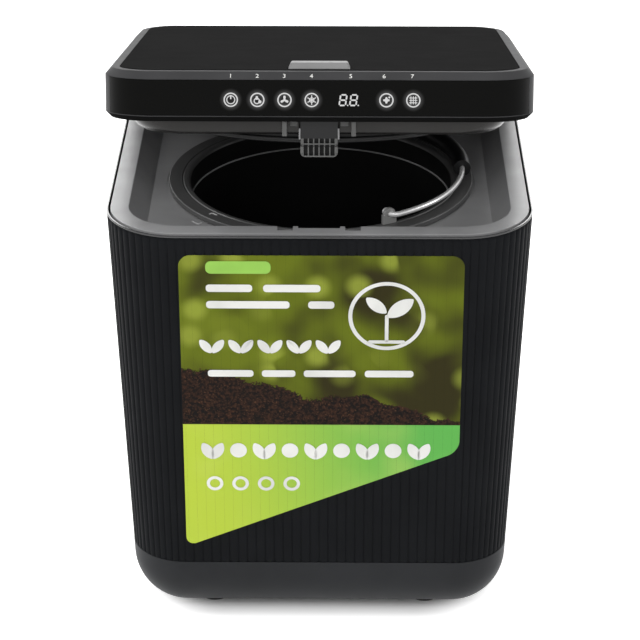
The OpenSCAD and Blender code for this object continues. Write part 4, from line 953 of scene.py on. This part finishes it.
# Lid
def lid_block(name):
    """The lid's outer form: chamfered slab whose back is the hinge barrel."""
    shape = (LID_HW, LID_FRONT, LID_BACK, LID_R, LID_Z + LID_UNDER, CORNER_STEPS, LID_REAR_R)
    upper, lower = plate(name, *shape), plate(name + "_low", *shape)
    rings(upper, [(0, LID_T - LID_UNDER - LID_OVER - 0.4), (0.15, 0.3), (0.35, 0.35),
        (LID_OVER - 1.1, LID_OVER - 1.1), (0.35, 0.3), (0.5, 0.15)])
    rings(lower, [(LID_UNDER - 0.4, -(LID_UNDER - 0.4)), (0.4, -0.4)])
    for half in (upper, lower):
        face_out(half)
    join(upper, [lower])
    weld(upper)
    clear_faces(upper, lambda c, n: abs(n.z) > 0.99 and abs(c.z - LID_Z - LID_UNDER) < 0.05)
    face_out(upper)
    barrel = box("barrel", -LID_HW - 5, LID_HW + 5, -10, LID_BACK, LID_Z, LID_TOP)
    edit(bpy.ops.mesh.bevel, barrel, "EDGE", lambda a, b: min(a.y, b.y) > 100 and abs(a.x - b.x) > 50,
        offset=(HINGE_R - 0.02) * MM, segments=20, affect="EDGES", profile=0.5)
    carve(upper, barrel, how="INTERSECT")
    return upper


def make_lid():
    shell = lid_block("lid_outer_shell")
    panel_hw, panel_v = LID_HW - LID_OVER - LID_EDGE, LID_FRONT + LID_OVER + LID_EDGE
    panel_r, panel_z = LID_R - LID_OVER - LID_EDGE, LID_TOP - 1.4
    key_hole = (-19.9, 19.9, 16.6, 31.4, LID_TOP - 8, LID_TOP + 2)
    # Seat of the top panel, pocket for the tray, latch opening, button opening
    carve(shell, slab([(0, 6)], "cut", panel_hw, panel_v, HINGE_V - 2, panel_r, panel_z),
        slab([(0, 12)], "cut", 117.0, 17, 277, 29.4, LID_Z - 2, 20),
        box("cut", -24.8, 24.8, 7.8, 34, LID_Z - 2, LID_Z + 22), box("cut", *key_hole))
    for s in (-1, 1):
        x0, x1 = s * HINGE_X - KNUCKLE_HW, s * HINGE_X + KNUCKLE_HW
        carve(shell, rod("cut", x0, x1, HINGE_V, HINGE_Z, 8.4),
            box("cut", x0, x1, 297.95, 330, LID_Z - 2, HINGE_Z),
            box("cut", x0, x1, HINGE_V, 330, HINGE_Z - 1, HINGE_Z + 6))
    carve(shell, band_solid("cut", 0.0, 1.0))
    soften(shell, 0.25, 2, 38)
    open_lid(shell)
    dress(shell, lid_plastic, "lid", ["lid_shell"], angle=28)
    # Painted shade: the shell's downward-facing lower chamfer and underside get the darker matt finish
    also(shell, lid_matt_and_painted_shade, lambda c, n: closed(c).z < LID_Z + LID_UNDER - 0.1)

    top = slab([(0, 1.15), (0.08, 0.17), (0.17, 0.08)], "lid_top_plate", panel_hw - 0.3, panel_v + 0.3,
        HINGE_V - 2.3, panel_r, panel_z)
    carve(top, box("cut", *key_hole))
    open_lid(top)
    dress(top, lid_matt_and_painted_shade, "lid", ["lid_top_panel"], angle=28)

    glass = band_solid("touch_glass", 0.2)
    soften(glass, 0.3, 3, 50)
    open_lid(glass)
    dress(glass, gloss, "lid", ["touch_panel"], angle=28)


def band_solid(name, gap, reach=0.0):
    """Strip of the lid's front that wraps its corners, with an even wall; it can reach outwards."""
    z0, z1 = LID_Z + 3.9 + gap, LID_TOP - 5.3 - gap
    strip_end = LID_FRONT + 18 - gap
    piece = plate(name, LID_HW, LID_FRONT, LID_BACK, LID_R, z0, CORNER_STEPS)
    rings(piece, [(0, z1 - z0)])
    clear_faces(piece, lambda c, n: abs(n.z) > 0.5)
    edit(bpy.ops.mesh.bisect, piece, "FACE", plane_co=(0, y_of(strip_end), 0), plane_no=(0, 1, 0),
        clear_outer=True)
    face_out(piece)
    if max(piece.data.polygons, key=lambda face: face.area).normal.y > 0:
        flip(piece)
    wall = 1.6 + reach
    apply(piece, "SOLIDIFY", thickness=wall * MM, offset=2 * reach / wall - 1, use_even_offset=True)
    return piece


def light_up(pieces, name, finish=glow):
    """Joins signs into one lit piece on the open lid."""
    piece = pieces[0]
    join(piece, pieces[1:])
    rename(piece, name)
    print_on(piece)
    open_lid(piece)
    dress(piece, finish, "lid", angle=20)


def make_keys():
    """Six lit rings with plain pictograms, and a display of two digits."""
    v, z, r = LID_FRONT - 0.03, 315.6, 4.5
    at = {"power": -55.2, "drop": -38.6, "blades": -21.6, "frost": -4.6, "sparkle": 42.1, "mesh": 58.9}
    for name, x in at.items():
        light_up([disc("halo", x, z, 7.6, v + 0.02)], "key_halo_" + name, halo)
        signs = [hoop("ring", x, z, r, 0.8, v)]
        if name == "power":
            signs += [hoop("ring", x, z, 2.8, 0.6, v), strip("bar", x, z + 1.7, 2.6, 0.8, 0, v)]
        elif name == "drop":
            signs += [hoop("ring", x - 0.3, z - 0.7, 2.0, 0.7, v),
                leaf("tip", x - 0.3, z - 0.6, 3.6, 1.6, 0, v), disc("dot", x + 1.6, z - 1.2, 1.0, v)]
        elif name == "blades":
            signs += [leaf("blade", x, z, 3.3, 1.5, turn, v) for turn in (0, 120, 240)]
            signs += [disc("hub", x, z, 0.8, v)]
        elif name == "frost":
            signs += [strip("arm", x, z, 6.0, 0.6, turn, v) for turn in (0, 60, 120)]
            signs += [hoop("ring", x, z, 1.9, 0.5, v, 6)]
        elif name == "sparkle":
            signs += [leaf("ray", x, z - 2.9, 5.8, 1.7, 0, v), leaf("ray", x - 2.9, z, 5.8, 1.7, 90, v)]
            signs += [disc("dot", x + 1.8, z + 1.8, 0.6, v)]
        else:
            signs += [strip("wire", x + d, z, 5.0, 0.5, 0, v) for d in (-1.5, 0, 1.5)]
            signs += [strip("wire", x, z + d, 5.0, 0.5, 90, v) for d in (-1.5, 0, 1.5)]
        light_up(signs, "key_" + name)
    for k, x in enumerate((15.0, 21.6)):
        wide, tall, thick, slant = 3.9, 3.3, 0.95, 8
        digit = [strip("segment", x + lean, z + up * tall, wide - 0.8, thick, 90, v, 0.4)
            for up, lean in ((1, 0.5), (0, 0), (-1, -0.5))]
        digit += [strip("segment", x + side * wide / 2 + lean, z + up * tall / 2, tall - 0.6, thick, slant, v,
            0.4) for side in (-1, 1) for up, lean in ((1, 0.25), (-1, -0.25))]
        digit.append(disc("point", x + 2.9, z - tall, 0.45, v))
        light_up(digit, "display_digit_%d" % (k + 1))


def make_numbers():
    """Plain numbers on the front chamfer, above the keys."""
    for k, x in enumerate((-55.3, -38.7, -21.8, -4.8, 19.8, 40.6, 58.2)):
        idle()
        bpy.ops.object.text_add(location=spot(x, 2.58, 329.37), rotation=(math.pi / 4, 0, 0))
        text = bpy.context.object
        text.data.body = str(k + 1)
        text.data.size = 4.4 * MM
        text.data.align_x = "CENTER"
        text.data.extrude = INK * MM
        bpy.ops.object.convert(target="MESH")
        text = bpy.context.object
        rename(text, "key_number_%d" % (k + 1))
        settle(text)
        open_lid(text)
        dress(text, white_ink, "lid", angle=20)


def make_button():
    """Key in the lid's top that narrows upwards, on a stem."""
    piece = box("release_key", -19.5, 19.5, 17, 31, LID_TOP - 3, LID_TOP)
    rise = 3.8
    pick(piece, "FACE", lambda c, n: n.z > 0.9)
    extrude(rise)
    widen(35.6 / 39, 10.0 / 14, spot(0, 27.5, LID_TOP + rise))
    leave()
    carve(piece, box("stem", -5, 5, 20, 26, 319.3, LID_TOP - 2), how="UNION")
    soften(piece, 0.9, 4, 25)
    open_lid(piece)
    dress(piece, button_plastic, "button", ["release_button"], angle=40)


def make_liner():
    """Tray under the lid: a rounded skirt with a flange under the lid, and guides beside the latch."""
    hw, v0, v1 = 116.6, 17.3, 276.7
    flange_hw = 120.9
    piece = plate("lid_tray", hw, v0, v1, 29, LID_Z + 7.4, 24)
    rings(piece, [(0, -7.4)])
    middle = FRONT_Y + (v0 + v1) / 2
    pick(piece, "FACE", lambda c, n: c.z < LID_Z + 1 and abs(n.z) > 0.5 and abs(c.x) < 1
        and abs(c.y - middle) < 20)
    extrude(0)
    widen(flange_hw / hw, 1)
    # Bowed skirt ring by ring: inset all round, rise, and what the sides come in beyond that
    half = flange_hw
    for width, rise, sides in ((0.1, -0.5, 0), (0.25, -1.2, 0.15), (0.35, -1.6, 0.35), (0.45, -1.7, 0.6),
            (0.6, -1.6, 0.9), (0.7, -1.4, 1.1), (0.85, -1.1, 1.2), (0.8, -0.6, 0.9), (0.5, -0.3, 0.3),
            (0.3, -0.1, 0), (1.2, 0, 0), (0.3, 0.25, 0), (0.5, 15.6, 0)):
        inset(width, rise)
        half -= width
        widen((half - sides) / half, 1)
        half -= sides
    leave()
    cap_open(piece)
    carve(piece, box("cut", -13, 13, 0, 23, LID_Z - 12, LID_Z + 16))
    open_lid(piece)
    dress(piece, liner_plastic, "lid", ["lid_liner"])
    for s, side in ((-1, "left"), (1, "right")):
        rib_x, pad_x, back, top = s * 21.8, s * 16, 24.2, LID_Z + 2.6
        rib = box("latch_guide_" + side, rib_x - 1.5, rib_x + 1.5, 9.5, back, LID_Z - 9.9, top)
        pad = box("pad", pad_x - 2.6, pad_x + 2.6, v0, back, LID_Z - 4.4, top)
        for bar in (rib, pad):
            soften(bar, 0.4, 2)
        join(rib, [pad])
        open_lid(rib)
        dress(rib, latch_grey_and_painted_highlight, "lid")


def make_plug():
    z0, r = LID_Z - 18.5, 84
    plug = turned("seal_plug_cup", 0, BUCKET_V, [(78, LID_Z + 5.4), (83.9, LID_Z + 5.4), (r, LID_Z + 5.2),
        (r, z0 + 1.2), (83.6, z0 + 0.4), (82.8, z0), (20, z0), (2, z0)])
    edit(bpy.ops.mesh.edge_face_add, plug, "EDGE", lambda a, b: abs(a.z - z0) < 0.01 and from_axis(a) < 2.5)
    face_out(plug)
    for k in range(6):
        a = math.radians(60 * k)
        carve(plug, drum("cut", 30 * math.cos(a), BUCKET_V + 30 * math.sin(a), z0 - 2, z0 + 2, 5, 32))
    open_lid(plug)
    dress(plug, black_plastic, "lid", ["seal_plug"], angle=40)
    lip = turned("gasket_lip", 0, BUCKET_V, [(r + out, z0 + up) for out, up in ((0, 1), (1.6, 1), (1.7, 1.8),
        (3.0, 2.0), (3.4, 2.6), (3.3, 3.6), (2.8, 4.0), (1.7, 4.3), (1.6, 7), (0, 7), (0, 1))])
    weld(lip)
    face_out(lip)
    open_lid(lip)
    dress(lip, silicone, "lid", ["lid_gasket"], angle=50)


make_lid()
make_keys()
make_numbers()
make_button()
make_liner()
make_plug()


def make_latch():
    """Latch with a cored tongue: thin ribs across cells, with a painted highlight on the ribs' fronts and
    painted shade in the cells, and light ears beside it.
    """
    tongue = merged_copy("latch_tongue", "latch_lever")
    top, bar, foot, pitch = LID_Z - 11.7, LID_Z - 15.2, LID_Z - 22.6, 3.4
    for proud, z0, z1 in ((0.05, bar - 0.4, top), (0.1, top, LID_Z + 8)):
        cover = box("cover", -11.6, 11.6, 13 - proud, 14.9, z0, z1)
        open_lid(cover)
        carve(tongue, cover, how="UNION")
    for k in range(6):
        x = (k - 2.5) * pitch
        for z0, z1 in ((foot, bar - 0.4), (bar + 0.4, top)):
            cell = box("cut", x - 1.3, x + 1.3, 9, 15.4, z0, z1)
            open_lid(cell)
            carve(tongue, cell)
    soften(tongue, 0.2, 2, 40)
    for s, side in ((-1, "left"), (1, "right")):
        x = s * 12.3
        ear = box("latch_ear_" + side, x - 0.55, x + 0.55, 12.6, 14.2, LID_Z - 12.2, LID_Z - 5.4)
        soften(ear, 0.25, 2)
        open_lid(ear)
        dress(ear, deck_plastic, "latch")
    dress(tongue, black_plastic, "latch", ["latch_lever"])
    # Painted highlight on the tongue's front faces, and painted shade in its cells
    also(tongue, latch_grey_and_painted_highlight, lambda c, n: n.y < -0.6 and closed(c).z < top + 0.1
        and closed(c).y < FRONT_Y + 13.2)
    also(tongue, recess_painted_shade, lambda c, n: closed(c).z < top
        and FRONT_Y + 13.3 < closed(c).y < FRONT_Y + 15.6)


make_latch()

# Pieces that keep their CAD form, with rounded edges
for node, name, width, finish, body, slot in (
        ("rear_panel", "rear_cover", 0.4, black_plastic, "base", "black_plastic"),
        ("filter_drawer", "filter_drawer_tray", 0.5, black_plastic, "drawer", "black_plastic"),
        ("mains_inlet", "inlet_socket", 0.3, black_plastic, "base", "black_plastic"),
        ("intake_grille", "intake_slats", 0.3, black_plastic, "base", "black_plastic"),
        ("hinge_brackets", "hinge_posts", 0.5, black_plastic, "base", "black_plastic"),
        ("bail_lugs", "bail_ears", 0.8, lug_alloy, "bucket_body", "bucket_coat"),
        ("rubber_feet", "feet_rubber", 0.4, foot_rubber, "base", "rubber_foot")):
    copy = merged_copy(name, node)
    soften(copy, width, 2, 40)
    dress(copy, finish, body, [node])

KEPT = {
    steel: "base_screws gearbox_screws drive_motor motor_shaft idler_shaft output_shaft drive_dog hinge_pins "
        "breaker_bars paddle_shaft grinding_paddle paddle_dog lid_magnet latch_pin latch_spring",
    cast_alloy: "chamber_pot heater_plate gearbox_tray gearbox_cover",
    bronze: "motor_pinion bucket_bush",
    nylon: "idler_gear output_gear thermostat",
    silicone: "shaft_seal",
    black_plastic: "fan_housing fan_impeller air_duct filter_housing",
    wool: "insulation_jacket",
    board: "power_board reed_switch control_board display_module",
    carbon: "filter_cartridge",
}
for finish, names in KEPT.items():
    for name in names.split():
        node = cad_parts[name]
        node.data.materials.clear()
        node.data.materials.append(finish.material)


# Studio
def studio():
    idle()
    bpy.ops.mesh.primitive_circle_add(vertices=96, radius=1.4, fill_type="NGON", location=(0, 0, 0))
    floor = bpy.context.object
    floor.name = "floor"
    floor.data.materials.append(floor_paint())
    bpy.context.scene.world = sky()
    for name, place, aim, size, power in (
            ("back_softbox", (-0.1, 1.5, 1.12), (0, -0.05, 0.3), (1.8, 0.45), 17),
            ("left_softbox", (-1.5, 0.1, 1.0), (0, 0, 0.25), (0.5, 1.0), 7),
            ("right_softbox", (1.6, 0.1, 0.9), (0, 0, 0.25), (0.4, 1.0), 5),
            ("top_light", (0.0, -0.3, 2.2), (0, -0.1, 0.2), (1.6, 1.6), 20),
            ("front_fill", (-0.3, -2.0, 1.5), (0, 0, 0.2), (1.8, 1.2), 30)):
        lamp = bpy.data.lights.new(name, "AREA")
        lamp.shape = "RECTANGLE"
        lamp.size, lamp.size_y = size
        lamp.energy = power
        holder = bpy.data.objects.new(name, lamp)
        holder.location = place
        holder.rotation_euler = (Vector(aim) - Vector(place)).to_track_quat("-Z", "Y").to_euler()
        holder.visible_glossy = name != "front_fill"
        bpy.context.scene.collection.objects.link(holder)
    camera = bpy.data.cameras.new("camera")
    camera.lens, camera.sensor_width = 138.2, 36
    camera.clip_end = 20
    stand = bpy.data.objects.new("camera", camera)
    stand.location = (0.0142, -1.59095, 0.9374)
    stand.rotation_euler = (math.radians(64.01), 0, math.radians(0.541))
    bpy.context.scene.collection.objects.link(stand)
    bpy.context.scene.camera = stand
    bpy.context.scene.view_settings.view_transform = "Standard"


def sky():
    """Dim even light, with a white background for the camera, in mirrors and through glass."""
    world = bpy.data.worlds.new("studio")
    world.use_nodes = True
    nodes, links = world.node_tree.nodes, world.node_tree.links
    nodes.clear()
    path = nodes.new("ShaderNodeLightPath")
    seen = path.outputs["Is Camera Ray"]
    for ray in ("Is Glossy Ray", "Is Transmission Ray"):
        either = nodes.new("ShaderNodeMath")
        either.operation = "MAXIMUM"
        links.new(seen, either.inputs[0])
        links.new(path.outputs[ray], either.inputs[1])
        seen = either.outputs[0]
    skies = []
    for strength in (0.12, 1.0):
        skies.append(nodes.new("ShaderNodeBackground"))
        skies[-1].inputs["Color"].default_value = (1, 1, 1, 1)
        skies[-1].inputs["Strength"].default_value = strength
    blend = nodes.new("ShaderNodeMixShader")
    out = nodes.new("ShaderNodeOutputWorld")
    links.new(seen, blend.inputs[0])
    links.new(skies[0].outputs[0], blend.inputs[1])
    links.new(skies[1].outputs[0], blend.inputs[2])
    links.new(blend.outputs[0], out.inputs["Surface"])
    return world


def floor_paint():
    """Pale floor, lifted to white beyond the shadow where the camera or a mirroring piece sees it."""
    f = Finish("pale_floor")
    x = f.node("SeparateXYZ", {}, {"Vector": f.place()})
    y = x.twin("Y")
    camera = f.node("LightPath")
    seen = camera.most(camera.twin("Is Glossy Ray")).most(camera.twin("Is Transmission Ray"))
    # Distance from the rounded footprint of the tub
    corner = 0.03
    out_x, out_y = (abs(x) - 0.065).most(0.0), (abs(y) - 0.088).most(0.0)
    beyond = (out_x * out_x + out_y * out_y).root() - corner
    lift = beyond.step(0.0, 0.032) * 0.8 * seen
    f.paint(Base_Color=f.mix(f.noise(30, 2), (0.9, 0.9, 0.9), (0.93, 0.93, 0.93)), Roughness=0.9,
        Specular_IOR_Level=0.1, Emission_Color=f.mix(lift, BLACK, WHITE), Emission_Strength=1.0)
    return f.material


studio()
